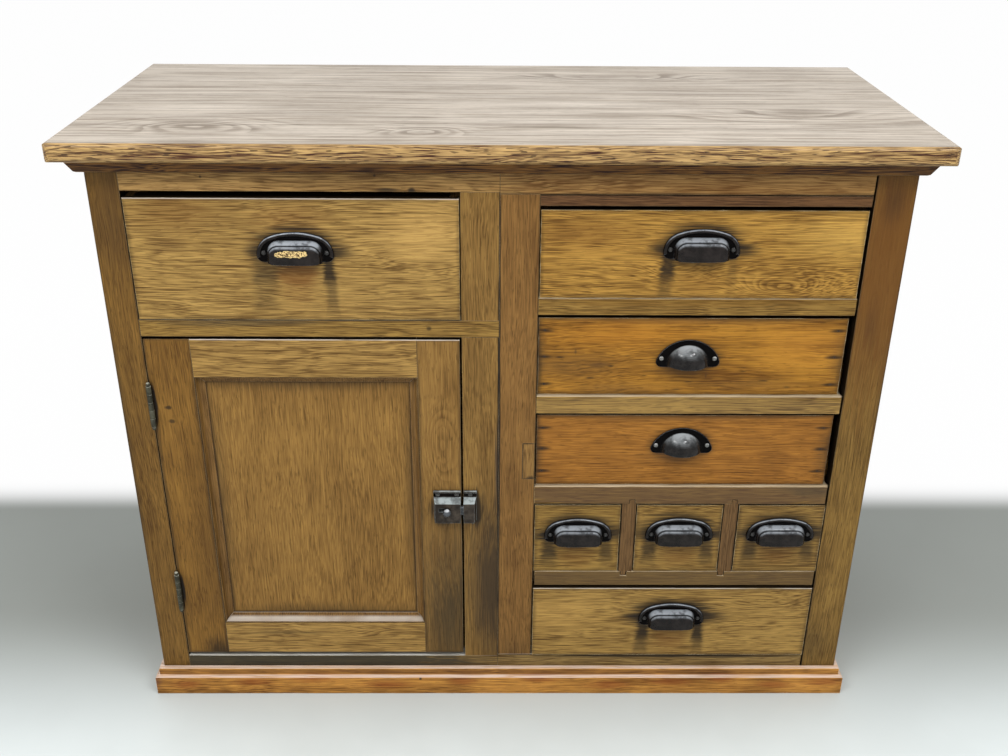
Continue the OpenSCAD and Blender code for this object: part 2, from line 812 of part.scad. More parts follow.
// One leaf with its knuckles. Side -1 is the frame's leaf, with the odd knuckles, and 1 the door's.
module leaf(side, z) {
    own = side < 0 ? [0, 2, 4] : [1, 3];
    other = side < 0 ? [1, 3] : [0, 2, 4];
    xa = side < 0 ? hinge_x - leaf_gap / 2 - leaf_t : hinge_x + leaf_gap / 2;
    pitch = knuckle_h + knuckle_gap;
    difference() {
        union() {
            block(xa, xa + leaf_t, hinge_y, leaf_y1, z, z + hinge_h);
            for (k = own) translate([hinge_x, hinge_y, z + k * pitch])
                cylinder(r = barrel_r, h = knuckle_h);
        }
        for (k = other) translate([hinge_x, hinge_y, z + k * pitch - knuckle_gap])
            cylinder(r = barrel_r + 0.3, h = knuckle_h + 2 * knuckle_gap);
        translate([hinge_x, hinge_y, z - 1]) cylinder(r = pin_r + pin_clear, h = hinge_h + 2);
        for (s = leaf_screw_zs) leaf_screw(z + hinge_h * s, side, 0.05);
    }
}

module hinge_frame_leaves() {
    color(steel) for (z = hinge_zs) leaf(-1, z);
}

module hinge_door_leaves() {
    color(steel) for (z = hinge_zs) leaf(1, z);
}

module hinge_pins() {
    tip_r = barrel_r * 0.8;
    color(steel) for (z = hinge_zs) {
        translate([hinge_x, hinge_y, z - tip_r]) cylinder(r = pin_r, h = hinge_h + 2 * tip_r);
        for (tip = [z - knuckle_gap - tip_r, z + hinge_h + knuckle_gap + tip_r])
            translate([hinge_x, hinge_y, tip]) sphere(r = tip_r);
    }
}

// ---- latch ----

latch_screw_z = (case_z1 + plate_z1 - lip_h) / 2;
case_screws = [for (x = [case_x0 + 6, case_x1 - 6]) [x, latch_screw_z]];
keeper_screws = [[keeper_x0 + keeper_w / 2, latch_screw_z]];

// Section of the latch's box, in Y and Z: its top slopes back to the plate
module case_section(grow) {
    polygon([[yf - plate_t + 1, case_z0 + grow], [case_front + grow, case_z0 + grow],
             [case_front + grow, case_z1 - slope_h - grow], [yf - plate_t + 1, case_z1 - grow]]);
}

// A plate with a lip along its top and a box on it. taper is how far the box's free side leans in at
// the front: the left side of the case, or the right side of the keeper.
module latch_shell(x0, x1, taper_left, taper_right) {
    block(x0, x1, yf - plate_t, yf, plate_z0, plate_z1);
    block(x0, x1, yf - lip_out, yf, plate_z1 - lip_h, plate_z1);
    intersection() {
        push_x(x0, x1) case_section(0);
        translate([0, 0, case_z0 - 1]) linear_extrude(latch_h)
            polygon([[x0, yf], [x0 + taper_left, case_front], [x1 - taper_right, case_front], [x1, yf]]);
    }
}

module screw_holes_y(points) {
    for (p = points) rod_y(p[0], p[1], yf - plate_t - 1, yf + 1, screw_r + 0.05);
}

slot_half = stem_r + 0.5;
slot_x0 = knob_x - bolt_travel - slot_half;
slot_x1 = knob_x + slot_half;
bolt_play = 0.4;
bolt_channel_z = [bolt_z - bolt_h / 2 - bolt_play, bolt_z + bolt_h / 2 + bolt_play];

module latch_case() {
    color(iron) difference() {
        latch_shell(case_x0, case_x1, 2, 0);
        push_x(case_x0 + case_wall, case_x1 + 1) intersection() {
            case_section(case_wall);
            translate([case_front, bolt_channel_z[0]])
                square([case_out - plate_t, bolt_channel_z[1] - bolt_channel_z[0]]);
        }
        block(slot_x0, slot_x1, case_front - 1, case_front + case_wall + 1,
              knob_z - slot_half, knob_z + slot_half);
        screw_holes_y(case_screws);
    }
}

module latch_keeper() {
    x1 = keeper_x0 + keeper_w;
    color(iron) difference() {
        latch_shell(keeper_x0, x1, 0, 3);
        block(keeper_x0 - 1, bolt_x1 + 2, bolt_y0 - bolt_play, yf - plate_t,
              bolt_channel_z[0], bolt_channel_z[1]);
        screw_holes_y(keeper_screws);
    }
}

module latch_bolt() {
    collar_r = 3.4;
    neck_r = 2;
    ball_y = knob_r + 1;
    color(iron) union() {
        block(bolt_x0, bolt_x1, bolt_y0, bolt_y0 + bolt_t, bolt_z - bolt_h / 2, bolt_z + bolt_h / 2);
        rod_y(knob_x, knob_z, case_front - 1, bolt_y0 + 1, stem_r);
        translate([knob_x, case_front - 0.3, knob_z]) rotate([90, 0, 0]) {
            cylinder(r1 = collar_r, r2 = neck_r, h = 2);
            cylinder(r = neck_r, h = ball_y);
            translate([0, 0, ball_y]) sphere(r = knob_r);
        }
    }
}

// A coil spring that pushes the bolt out of the case
module latch_spring() {
    sides = 6;
    per_turn = 12;
    rings = spring_turns * per_turn;
    length = bolt_x0 - spring_x0 - 2 * spring_wire - 0.2;
    y = bolt_y0 + bolt_t / 2;
    x0 = spring_x0 + spring_wire + 0.1;
    function ring_point(i, k) =
        let (a = 360 * i / per_turn, b = 360 * k / sides, r = spring_r + spring_wire * cos(b))
        [x0 + length * i / rings + spring_wire * sin(b), y + r * cos(a), bolt_z + r * sin(a)];
    points = [for (i = [0:rings], k = [0:sides - 1]) ring_point(i, k)];
    walls = [for (i = [0:rings - 1], k = [0:sides - 1])
        [i * sides + k, i * sides + (k + 1) % sides,
         (i + 1) * sides + (k + 1) % sides, (i + 1) * sides + k]];
    ends = [[for (k = [sides - 1:-1:0]) k], [for (k = [0:sides - 1]) rings * sides + k]];
    color(steel) polyhedron(points = points, faces = concat(walls, ends));
}

// ---- screws ----

// A round-headed screw whose head stands on the plane y, with its shank going back
module round_screw(x, y, z) {
    head_r = screw_r * 1.8;
    head_h = 1.8;
    translate([x, y - seat, z]) rotate([90, 0, 0]) difference() {
        union() {
            translate([0, 0, -screw_l]) cylinder(r = screw_r, h = screw_l + 0.5);
            intersection() {
                translate([0, 0, head_h - head_r * 1.25]) sphere(r = head_r * 1.25);
                cylinder(r = head_r, h = head_h + 1);
            }
        }
        translate([-head_r - 1, -0.4, head_h * 0.45]) cube([2 * head_r + 2, 0.8, head_h]);
    }
}

module frame_screws() {
    color(steel) {
        for (z = hinge_zs, s = leaf_screw_zs) leaf_screw(z + hinge_h * s, -1, 0);
        for (p = keeper_screws) round_screw(p[0], yf - plate_t, p[1]);
    }
}

module door_screws() {
    color(steel) {
        for (z = hinge_zs, s = leaf_screw_zs) leaf_screw(z + hinge_h * s, 1, 0);
        for (p = case_screws) round_screw(p[0], yf - plate_t, p[1]);
    }
}

// ---- drawers ----

// The holes for the screws of a drawer's pull
module pull_screw_holes(d) {
    for (s = [-1, 1])
        rod_y(pull_x(d) + s * pull_screw_x(d), pull_z(d) + pull_screw_up,
              dyf(d) - 1, dyf(d) + screw_l + 1, screw_r + 0.05);
}

module drawer_front(d) {
    y0 = dyf(d);
    y1 = y0 + front_t;
    zb = dz0(d) + bottom_up;
    difference() {
        block(dx0(d), dx1(d), y0, y1, dz0(d), dz1(d));
        // Rabbets that the sides are nailed into
        for (x = [dx0(d) - 1, dx1(d) - drawer_side_t - fit / 2])
            block(x, x + drawer_side_t + fit / 2 + 1, y1 - rabbet_d, y1 + 1, dz0(d) - 1, dz1(d) + 1);
        // Groove for the bottom
        block(dx0(d) - 1, dx1(d) + 1, y1 - bottom_groove - fit, y1 + 1,
              zb - fit, zb + drawer_bottom_t + fit);
        pull_screw_holes(d);
    }
}

module drawer_box(d) {
    y0 = dyf(d) + front_t - rabbet_d + fit / 2;
    yb0 = drawer_y1 - 6 - drawer_side_t;
    xa = dx0(d);
    xb = dx1(d);
    in0 = xa + drawer_side_t;
    in1 = xb - drawer_side_t;
    z0 = dz0(d);
    z1 = dz1(d) - 2;
    zb = z0 + bottom_up;
    difference() {
        union() {
            block(xa, in0, y0, drawer_y1, z0, z1);
            block(in1, xb, y0, drawer_y1, z0, z1);
        }
        block(in0 - bottom_groove - fit, in1 + bottom_groove + fit, y0 - 1, drawer_y1 + 1,
              zb - fit, zb + drawer_bottom_t + fit);
        block(in0 - back_dado - fit, in1 + back_dado + fit, yb0 - fit, yb0 + drawer_side_t + fit,
              zb, z1 + 1);
        pull_screw_holes(d);
    }
    block(in0 - back_dado, in1 + back_dado, yb0, yb0 + drawer_side_t,
          zb + drawer_bottom_t + eps, z1 - 6);
    block(in0 - bottom_groove, in1 + bottom_groove, dyf(d) + front_t - bottom_groove, drawer_y1 - 2,
          zb, zb + drawer_bottom_t);
}

// ---- pulls ----

// The outline of a pull's plate, in X and Z from its foot: a straight foot, round lower corners of
// radius lobe, and above them round shoulders of radius shoulder that one flat arc joins smoothly.
// inset shrinks it all round.
module plate_outline(w, h, shoulder, lobe, inset) {
    shoulder_x = w / 2 - shoulder;
    rise = h - lobe;
    arc_r = (shoulder_x * shoulder_x + rise * rise - shoulder * shoulder) / (2 * (rise - shoulder));
    arc_z = h - arc_r;
    meet = atan2(lobe - arc_z, shoulder_x);
    polygon(concat(arc(w / 2 - lobe, lobe, lobe - inset, -90, 0, 6),
                   arc(shoulder_x, lobe, shoulder - inset, 2, meet, 12),
                   arc(0, arc_z, arc_r - inset, meet + 1.5, 178.5 - meet, 20),
                   arc(-shoulder_x, lobe, shoulder - inset, 180 - meet, 178, 12),
                   arc(lobe - w / 2, lobe, lobe - inset, 180, 270, 6)));
}

// A loaf shape open to the back and below: round seen from the front, from the side and from above
module loaf(w, h, out, corner_r, nose_r, plan_r, foot) {
    intersection() {
        push_y(-out - 1, 3) {
            translate([-w / 2, -foot]) square([w, h - corner_r + foot]);
            translate([-w / 2 + corner_r, 0]) square([w - 2 * corner_r, h]);
            for (s = [-1, 1]) translate([s * (w / 2 - corner_r), h - corner_r]) circle(r = corner_r);
        }
        push_x(-w, w) {
            translate([-out, -foot]) square([out + 3, h - nose_r + foot]);
            translate([nose_r - out, -foot]) square([out - nose_r + 3, h + foot]);
            translate([nose_r - out, h - nose_r]) circle(r = nose_r);
        }
        translate([0, 0, -foot]) linear_extrude(h + foot) {
            translate([-w / 2, -out + plan_r]) square([w, out + 3 - plan_r]);
            translate([-w / 2 + plan_r, -out]) square([w - 2 * plan_r, out + 3]);
            for (s = [-1, 1]) translate([s * (w / 2 - plan_r), -out + plan_r]) circle(r = plan_r);
        }
    }
}

// The cup of a wide pull is a loaf with a narrower and lower one standing out in front of it
wide_cup_step = 5;
module wide_cup() {
    h = wide_pull_h * 0.72;
    loaf(wide_cup_w, h, wide_cup_out - wide_cup_step, 16, 9, 8, 0);
    loaf(wide_cup_w - wide_cup_step, h - wide_cup_step, wide_cup_out, 11, 7, 5, 0);
}

module wide_cup_hollow() {
    h = wide_pull_h * 0.72 - wide_cup_step - cup_wall;
    loaf(wide_cup_w - wide_cup_step - 2 * cup_wall, h, wide_cup_out - cup_wall, 9, 5, 3, 5);
}

module pull_holes(sx) {
    for (s = [-1, 1]) rod_y(s * sx, pull_screw_up, -6, 1, screw_r + 0.05);
}

module wide_outline(inset) {
    plate_outline(wide_pull_w, wide_pull_h, wide_shoulder_r, wide_lobe_r, inset);
}

// The wide pull: a plate with a raised rim along its arch, and the cup
module wide_pull(sx) {
    rim_out = 4.2;
    rim_w = 5;
    difference() {
        union() {
            push_y(-pull_plate_t, 0) wide_outline(0);
            difference() {
                push_y(-rim_out, 0) wide_outline(0);
                push_y(-rim_out - 1, 1) wide_outline(rim_w);
                block(-wide_pull_w, wide_pull_w, -rim_out - 1, 1, -1, wide_lobe_r);
            }
            intersection() {
                wide_cup();
                block(-wide_pull_w, wide_pull_w, -2 * wide_cup_out, 0, 0, wide_pull_h);
            }
        }
        wide_cup_hollow();
        pull_holes(sx);
    }
}

// The domed pull: a flat plate with the upper half of a dome on it
module dome_pull(sx) {
    ball_r = (dome_r * dome_r + dome_out * dome_out) / (2 * dome_out);
    y_ball = ball_r - dome_out;
    lip_z = dome_pull_h * 0.08;
    difference() {
        union() {
            push_y(-pull_plate_t, 0) plate_outline(dome_pull_w, dome_pull_h, dome_lobe_r, dome_lobe_r, 0);
            intersection() {
                translate([0, y_ball, lip_z]) sphere(r = ball_r, $fn = 96);
                block(-dome_r - 1, dome_r + 1, -dome_out - 1, 0, lip_z, dome_pull_h);
            }
        }
        intersection() {
            translate([0, y_ball, lip_z]) sphere(r = ball_r - cup_wall, $fn = 96);
            block(-dome_r - 1, dome_r + 1, -dome_out - 1, 1, -1, dome_pull_h);
        }
        pull_holes(sx);
    }
}

module drawer_pull(d) {
    sx = pull_screw_x(d);
    translate([pull_x(d), dyf(d), pull_z(d)]) {
        if (d[6]) wide_pull(sx);
        else dome_pull(sx);
    }
    for (s = [-1, 1]) round_screw(pull_x(d) + s * sx, dyf(d) - pull_plate_t, pull_z(d) + pull_screw_up);
}

module drawer_part(i, what) {
    d = drawers[i];
    looks = i == 2 || i == 3 ? pine : oak;
    if (what == "front") color(looks) drawer_front(d);
    if (what == "box") color(inside_wood) drawer_box(d);
    if (what == "pull") color(iron) drawer_pull(d);
}

// ---- nodes ----

worktop();
top_moulding();
left_stile();
centre_stile();
right_stile();
inner_stiles();
top_rails();
sub_rail();
mid_rail();
bottom_rails();
drawer_dividers();
drawer_muntins();
stile_patch();
left_side_boards();
right_side_boards();
back_boards();
floor_board();
partition();
shelf();
cleats_and_blocks();
drawer_runners();
base_moulding();
hinge_frame_leaves();
hinge_pins();
latch_keeper();
frame_screws();
door_hinge_stile();
door_latch_stile();
door_rails();
door_panel();
door_moulding();
hinge_door_leaves();
latch_case();
door_screws();
latch_bolt();
latch_spring();
for (i = [0:len(drawers) - 1], what = ["front", "box", "pull"])
    drawer_part(i, what);
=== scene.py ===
"""The looks of the bakers cabinet: aged oak and pine, black iron pulls and latch, on a pale floor."""

import functools
import math
import zlib

import bmesh
import bpy
from mathutils import Matrix, Vector


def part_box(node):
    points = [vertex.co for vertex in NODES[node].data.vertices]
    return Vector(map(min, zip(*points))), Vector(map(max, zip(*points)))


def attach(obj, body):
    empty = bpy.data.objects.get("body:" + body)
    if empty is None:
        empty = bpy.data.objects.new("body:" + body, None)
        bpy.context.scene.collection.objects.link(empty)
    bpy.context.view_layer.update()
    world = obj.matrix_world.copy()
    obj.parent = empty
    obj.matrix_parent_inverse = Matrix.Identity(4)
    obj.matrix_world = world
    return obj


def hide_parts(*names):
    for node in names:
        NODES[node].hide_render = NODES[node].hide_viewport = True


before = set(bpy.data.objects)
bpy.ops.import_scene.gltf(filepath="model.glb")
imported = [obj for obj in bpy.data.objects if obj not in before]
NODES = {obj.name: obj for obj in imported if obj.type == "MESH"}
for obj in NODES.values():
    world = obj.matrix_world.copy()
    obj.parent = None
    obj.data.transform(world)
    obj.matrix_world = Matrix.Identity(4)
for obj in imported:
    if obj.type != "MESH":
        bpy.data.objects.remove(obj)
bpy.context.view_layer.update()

MM = 0.001
WIDE_DRAWERS = [
    "left_drawer", "top_drawer", "small_drawer_1", "small_drawer_2", "small_drawer_3", "bottom_drawer",
]
DOME_DRAWERS = ["second_drawer", "third_drawer"]
SIDES = ((-1, "left"), (1, "right"))

# Sizes in millimetres, as in the CAD part
HINGE_LENGTH = 63.5
WIDE_PULL_W = 102
PLATE_T = 2.2
SHELL_T = 2.0
WIDE_SCREW_X, DOME_SCREW_X, SCREW_Z = 41.5, 37, 13
CUP_DEPTH = 18.6

# Screen colours
SOOT = (26, 20, 14)
SHADOW = (16, 11, 7)
RIM_DIRT = (40, 27, 14)
CORNER_DIRT = (20, 14, 8)
WORN_EDGE = (196, 168, 120)
PALE_DUST = (196, 184, 160)
CREST_WHITE = (196, 184, 172)
BLACK_IRON = (7, 6, 6)
INSIDE = (152, 120, 76)

# The ways that faces look which get painted shadow, as in the gaps and under the rails
GAPS = "+X -X +Z -Z"
UNDER_RAIL = "-Z +X -X"


def srgb(r, g, b):
    """A colour as it looks on screen, 0 to 255, as the linear colour that shaders take."""
    out = []
    for value in (r, g, b):
        c = value / 255
        out.append(c / 12.92 if c <= 0.04045 else ((c + 0.055) / 1.055) ** 2.4)
    return (*out, 1.0)


def seed_of(name):
    """A steady number from 0 to 1 for each name."""
    return zlib.crc32(name.encode()) % 10007 / 10007


# ---- shader trees ----


class Tree:
    """A short way to write the nodes of a material or world. Values may be numbers, colours or sockets."""

    def __init__(self, owner, output="ShaderNodeOutputMaterial"):
        owner.use_nodes = True
        self.owner = owner
        self.nodes = owner.node_tree.nodes
        self.links = owner.node_tree.links
        self.nodes.clear()
        self.output = self.node(output)
        self.coordinates = None

    def node(self, kind, **properties):
        made = self.nodes.new(kind)
        for key, value in properties.items():
            setattr(made, key, value)
        return made

    def put(self, socket, value):
        if isinstance(value, bpy.types.NodeSocket):
            self.links.new(value, socket)
        else:
            socket.default_value = value

    def fed(self, made, *values):
        """The first output of a node, once the values are in its first inputs."""
        for socket, value in zip(made.inputs, values):
            self.put(socket, value)
        return made.outputs[0]

    def math(self, operation, a, b=0.0, c=0.0, clamp=False):
        return self.fed(self.node("ShaderNodeMath", operation=operation, use_clamp=clamp), a, b, c)

    def times(self, *values):
        return functools.reduce(lambda a, b: self.math("MULTIPLY", a, b), values)

    def plus(self, a, b):
        return self.math("ADD", a, b)

    def minus(self, a, b):
        return self.math("SUBTRACT", a, b)

    def scaled(self, value, factor, base):
        """base with the value added to it that many times."""
        return self.math("MULTIPLY_ADD", value, factor, base)

    def most(self, *values):
        return functools.reduce(lambda a, b: self.math("MAXIMUM", a, b), values)

    def around(self, noise, amount, base):
        """base with the noise added to it, amount strong and even round the middle."""
        return self.scaled(self.minus(noise, 0.5), amount, base)

    def dot(self, a, b):
        made = self.node("ShaderNodeVectorMath", operation="DOT_PRODUCT")
        self.fed(made, a, b)
        return made.outputs["Value"]

    def length(self, a, b):
        """How long the vector is that has those two sides."""
        made = self.node("ShaderNodeVectorMath", operation="LENGTH")
        self.fed(made, self.join(a, b, 0.0))
        return made.outputs["Value"]

    def mix(self, factor, a, b):
        """Colour a where the factor is 0, and b where it is 1. The node's sockets for colours are 6 and 7."""
        made = self.node("ShaderNodeMix", data_type="RGBA")
        self.put(made.inputs[0], factor)
        self.put(made.inputs[6], a)
        self.put(made.inputs[7], b)
        return made.outputs[2]

    def step(self, value, low, high, out_low=0.0, out_high=1.0):
        """A smooth step from out_low at low to out_high at high."""
        made = self.node("ShaderNodeMapRange", interpolation_type="SMOOTHSTEP")
        return self.fed(made, value, low, high, out_low, out_high)

    def noise(self, vector, scale, detail, roughness=0.5):
        made = self.node("ShaderNodeTexNoise")
        values = dict(Vector=vector, Scale=scale, Detail=detail, Roughness=roughness)
        for name, value in values.items():
            self.put(made.inputs[name], value)
        return made.outputs[0]

    def place(self):
        """The point's place in the object's own frame, in metres."""
        if self.coordinates is None:
            self.coordinates = self.node("ShaderNodeTexCoord").outputs["Object"]
        return self.coordinates

    def split(self, vector):
        made = self.node("ShaderNodeSeparateXYZ")
        self.fed(made, vector)
        return made.outputs[:]

    def join(self, x, y, z):
        return self.fed(self.node("ShaderNodeCombineXYZ"), x, y, z)

    def edges(self, radius):
        """1 on worn outer edges and 0 on flat faces."""
        rounded = self.node("ShaderNodeBevel", samples=4)
        self.put(rounded.inputs["Radius"], radius)
        flat = self.node("ShaderNodeNewGeometry").outputs["True Normal"]
        return self.step(self.dot(rounded.outputs[0], flat), 0.985, 0.86)

    def crevices(self, distance):
        """1 deep in a corner and 0 on open faces."""
        made = self.node("ShaderNodeAmbientOcclusion", samples=4)
        self.put(made.inputs["Distance"], distance)
        return self.step(made.outputs["AO"], 0.95, 0.35)

    def facing(self, way, low=0.75, high=0.95):
        """1 on faces that look that way, such as "+X", in the cabinet's own frame."""
        normal = self.node("ShaderNodeTexCoord").outputs["Normal"]
        sign = 1 if way[0] == "+" else -1
        return self.step(self.split(normal)["XYZ".index(way[1])], sign * low, sign * high)

    def shader(self, colour, roughness, **fixed):
        """fixed holds the values that are the same all over the surface."""
        made = self.node("ShaderNodeBsdfPrincipled")
        self.put(made.inputs["Base Color"], colour)
        self.put(made.inputs["Roughness"], roughness)
        for key, value in fixed.items():
            made.inputs[key.replace("_", " ")].default_value = value
        return made

    def finish(self, shader, height, distance):
        """Ends a material in a shader with bumps of that height, at most distance metres."""
        bump = self.node("ShaderNodeBump")
        bump.inputs["Strength"].default_value = 1.0
        bump.inputs["Distance"].default_value = distance
        self.put(bump.inputs["Height"], height)
        self.links.new(bump.outputs[0], shader.inputs["Normal"])
        self.links.new(shader.outputs[0], self.output.inputs[0])
        return self.owner

    def blend(self, factor, first, second):
        """Ends the tree in a blend of two shaders."""
        made = self.node("ShaderNodeMixShader")
        self.put(made.inputs[0], factor)
        self.links.new(first.outputs[0], made.inputs[1])
        self.links.new(second.outputs[0], made.inputs[2])
        self.links.new(made.outputs[0], self.output.inputs[0])

    def looked_at(self):
        """1 for the camera and for what shows in metal or through glass, 0 for light on the object."""
        path = self.node("ShaderNodeLightPath")
        return self.most(*[path.outputs["Is %s Ray" % kind] for kind in ("Camera", "Glossy", "Transmission")])


# ---- wood ----


def mark(x, z, half_x, half_z, strength=0.7, soft=0.7, colour=SOOT, square=False, all_round=False):
    """A mark on a board, used for stains and for painted shadows: its middle and half sizes in millimetres as
    seen from the front, how much of its screen colour covers the wood, and the part of it that fades out. It
    shows on the front face, or with all_round on every face."""
    place = (x, z, half_x, half_z, soft, square)
    return dict(place=place, strength=strength, colour=colour, all_round=all_round)


def oval(x, z, half_x, half_z, rise, flat=False):
    """A place where the growth rings close into ovals, on the front, or with flat on the top, where z is the
    depth. rise is how far the rings are pushed out there, in millimetres."""
    return dict(place=(x, z, half_x, half_z, 1.0), rise=rise, flat=flat)


def soft_ellipse(t, x, z, wobble, place):
    """1 inside an ellipse, or a rectangle if square, fading out over the part soft of its size."""
    cx, cz, half_x, half_z, soft, *square = place
    dx = t.math("DIVIDE", t.minus(x, cx * MM), half_x * MM)
    dz = t.math("DIVIDE", t.minus(z, cz * MM), half_z * MM)
    if any(square):
        away = t.most(t.math("ABSOLUTE", dx), t.math("ABSOLUTE", dz))
    else:
        away = t.length(dx, dz)
    return t.step(t.plus(away, wobble), 1.0, 1.0 - soft)


def tones(tone, contrast):
    """The light and the dark of a wood. tone is how its middle looks with the gloss on it, so the paint
    under the gloss is dimmer. The dark is redder than the light."""
    under_gloss = 0.86
    mean = [c * under_gloss for c in srgb(*tone)[:3]]
    light = [min(c * (1 + k * contrast), 0.95) for c, k in zip(mean, (0.62, 0.62, 0.60))]
    dark = [c * (1 - k * contrast) for c, k in zip(mean, (0.58, 0.66, 0.76))]
    return (*light, 1.0), (*dark, 1.0)


def wood(
    name, tone, along="X", contrast=1.0, spacing=3.2, pith=(0.16, 0.05), rings=0.3, fibre=1.0,
    blotch=0.5, warp=18.0, line=(72, 1.8), top_line=(320, 7.5), top_contrast=0.6, flecks=0.3,
    figures=(), stains=(), wear=0.35, wear_colour=WORN_EDGE, dust=0.0, dust_colour=PALE_DUST,
    even=False, crest=None, grime=0.7, hidden="", rim=None, top_tone=None, roughness=0.42,
    gloss=0.16, bump=0.00016,
):
    """Old finished wood. along is the way that the grain runs. The growth rings are cylinders round a pith
    that lies pith metres behind and beside the board, so each board shows its own figure on every face.
    spacing is that of the rings and line the length and width of the fine grain, in millimetres. figures are
    ovals and stains are marks. hidden lists the ways that faces look which get painted
    shadow, as in the gaps, rim is a board's box, with dirt and painted shade at its edges, crest is
    the height of a painted highlight with wear along the top of the front and its strength,
    grime is how strong dirt and painted shade are in the corners, and even says that the dust
    and painted top light aren't broken up by the grain. The top_ values are those of the faces that look up,
    and top_tone is their tone, made pale as a painted glare."""
    t = Tree(bpy.data.materials.new(name))
    x, y, z = t.split(t.place())
    u, v, w = {"X": (x, y, z), "Y": (y, x, z), "Z": (z, y, x)}[along]
    shift = seed_of(name)
    space = t.join(t.plus(u, shift * 7.0), t.plus(v, shift * 3.0), t.plus(w, shift * 5.0))

    def stretched(length, width, detail=2.0, rough=0.5, base=space):
        """Noise with features of that length along the grain and that width across it, in millimetres."""
        made = t.node("ShaderNodeVectorMath", operation="MULTIPLY")
        across = 1 / (width * MM)
        return t.noise(t.fed(made, base, (1 / (length * MM), across, across)), 1.0, detail, rough)

    sway = t.around(stretched(500, 120), warp * MM * 2, 0.0)
    sway = t.around(stretched(90, 22), 4.2 * MM, sway)
    lift, ovals = 0.0, 0.0
    for figure in figures:
        inside = soft_ellipse(t, x, y if figure["flat"] else z, 0.0, figure["place"])
        lift = t.scaled(inside, figure["rise"] * MM, lift)
        ovals = t.most(ovals, inside)
    dv = t.plus(v, pith[0] + shift * 0.01)
    dw = t.minus(w, pith[1])
    radius = t.plus(t.length(dv, dw), sway)
    if figures:
        radius = t.plus(radius, lift)
        sway = t.scaled(lift, 0.25, sway)
    count = t.math("DIVIDE", radius, spacing * MM)
    phase = t.math("FRACT", count)
    ring = t.times(t.step(phase, 0.15, 0.8), t.step(phase, 1.0, 0.88))
    strength = t.noise(t.join(t.times(count, 0.45), 0.0, 0.0), 1.0, 1.0)
    ring = t.times(ring, t.step(strength, 0.32, 0.66, 0.15, 1.0))
    grain = t.fed(t.node("ShaderNodeVectorMath", operation="ADD"), space, t.join(0.0, sway, sway))
    streaks = stretched(line[0], line[1] * 1.15, 1.5, 0.6, grain)
    hairs = stretched(line[0] * 0.6, line[1] * 0.52, 0.5, 0.5, grain)
    bands = stretched(250, 20, 3.0, 0.6, grain)
    cloud = t.noise(space, 11.0, 3.0, 0.55)
    pore = t.step(stretched(14, 1.6, 0.5, 0.5, grain), 0.62, 0.69)

    depth = t.scaled(ring, rings, 0.44 - 0.25 * rings)
    if figures:
        depth = t.plus(depth, t.times(ring, ovals, 0.3))
    depth = t.around(bands, blotch * 1.5, depth)
    depth = t.around(cloud, blotch * 1.3, depth)
    fine = t.around(streaks, fibre * 0.95, t.around(hairs, fibre * 2.2, depth))
    light, dark = tones(tone, contrast)
    colour = t.mix(t.math("ADD", fine, 0.0, clamp=True), light, dark)
    # Painted glare: faces that look up take a paler tone, as the light above shines off them
    if top_tone is not None:
        broad = stretched(*top_line, 2.0, 0.6, grain)
        broad = t.scaled(t.times(ring, ovals), 0.5, t.around(broad, fibre * 1.8, depth))
        broad = t.math("ADD", broad, 0.0, clamp=True)
        top_light, top_dark = tones(top_tone, top_contrast)
        colour = t.mix(t.facing("+Z", 0.9, 0.985), colour, t.mix(broad, top_light, top_dark))
        pore = t.times(pore, t.scaled(t.facing("+Z", 0.6, 0.95), -0.75, 1.0))
    deep = (dark[0] * 0.4, dark[1] * 0.36, dark[2] * 0.32, 1.0)
    colour = t.mix(t.times(pore, flecks), colour, deep)

    dirty = t.around(bands, 0.4, t.minus(streaks, 0.5))
    ahead = t.facing("-Y", 0.2, 0.5) if stains else 0.0
    for stain in stains:
        cover = t.times(soft_ellipse(t, x, z, dirty, stain["place"]), stain["strength"])
        if not stain["all_round"]:
            cover = t.times(cover, ahead)
        colour = t.mix(cover, colour, srgb(*stain["colour"]))
    # Dirt and painted shade: darker towards the board's edges, by the gaps
    if rim:
        (low, high), width, strength = rim
        near_x = t.math("MINIMUM", t.minus(x, low[0] * MM), t.minus(high[0] * MM, x))
        near_z = t.math("MINIMUM", t.minus(z, low[2] * MM), t.minus(high[2] * MM, z))
        edge = t.math("MINIMUM", near_x, near_z)
        edge = t.around(cloud, 1.6 * width * MM, edge)
        colour = t.mix(t.step(edge, width * MM, 0.0, 0.0, strength), colour, srgb(*RIM_DIRT))
    # Dirt and painted shade: darker deep in the corners, where ambient occlusion finds them
    if grime:
        dirt = t.times(t.crevices(0.012), t.step(cloud, 0.25, 0.65, 0.6, 1.0), grime)
        colour = t.mix(dirt, colour, srgb(*CORNER_DIRT))
    if wear:
        broken = t.step(stretched(30, 10), 0.38, 0.6, 0.15, 1.0)
        rubbed = t.times(t.edges(1.6 * MM), broken, wear)
        colour = t.mix(rubbed, colour, srgb(*wear_colour))
    # Dust and painted light: faces that look up are paler, as if dusty and lit from above
    if dust:
        patchy = t.step(cloud if even else streaks, 0.36, 0.58, 0.5, 1.0)
        settled = t.times(t.facing("+Z", 0.35, 0.8), patchy, dust)
        colour = t.mix(settled, colour, srgb(*dust_colour))
    # Painted shadow: faces that look these ways are darkened, as in the gaps and under the rails
    for way in hidden.split():
        colour = t.mix(t.times(t.facing(way), 0.93), colour, srgb(*SHADOW))
    # Painted highlight, with wear: a pale line along the front just under the top edge
    if crest:
        top, strength = crest
        pale = t.step(z, (top - 2.1) * MM, (top - 0.9) * MM, 0.0, strength)
        pale = t.times(pale, t.minus(1.0, t.facing("+Z", 0.8, 0.95)), t.step(cloud, 0.3, 0.5, 0.2, 1.0))
        colour = t.mix(pale, colour, srgb(*CREST_WHITE))

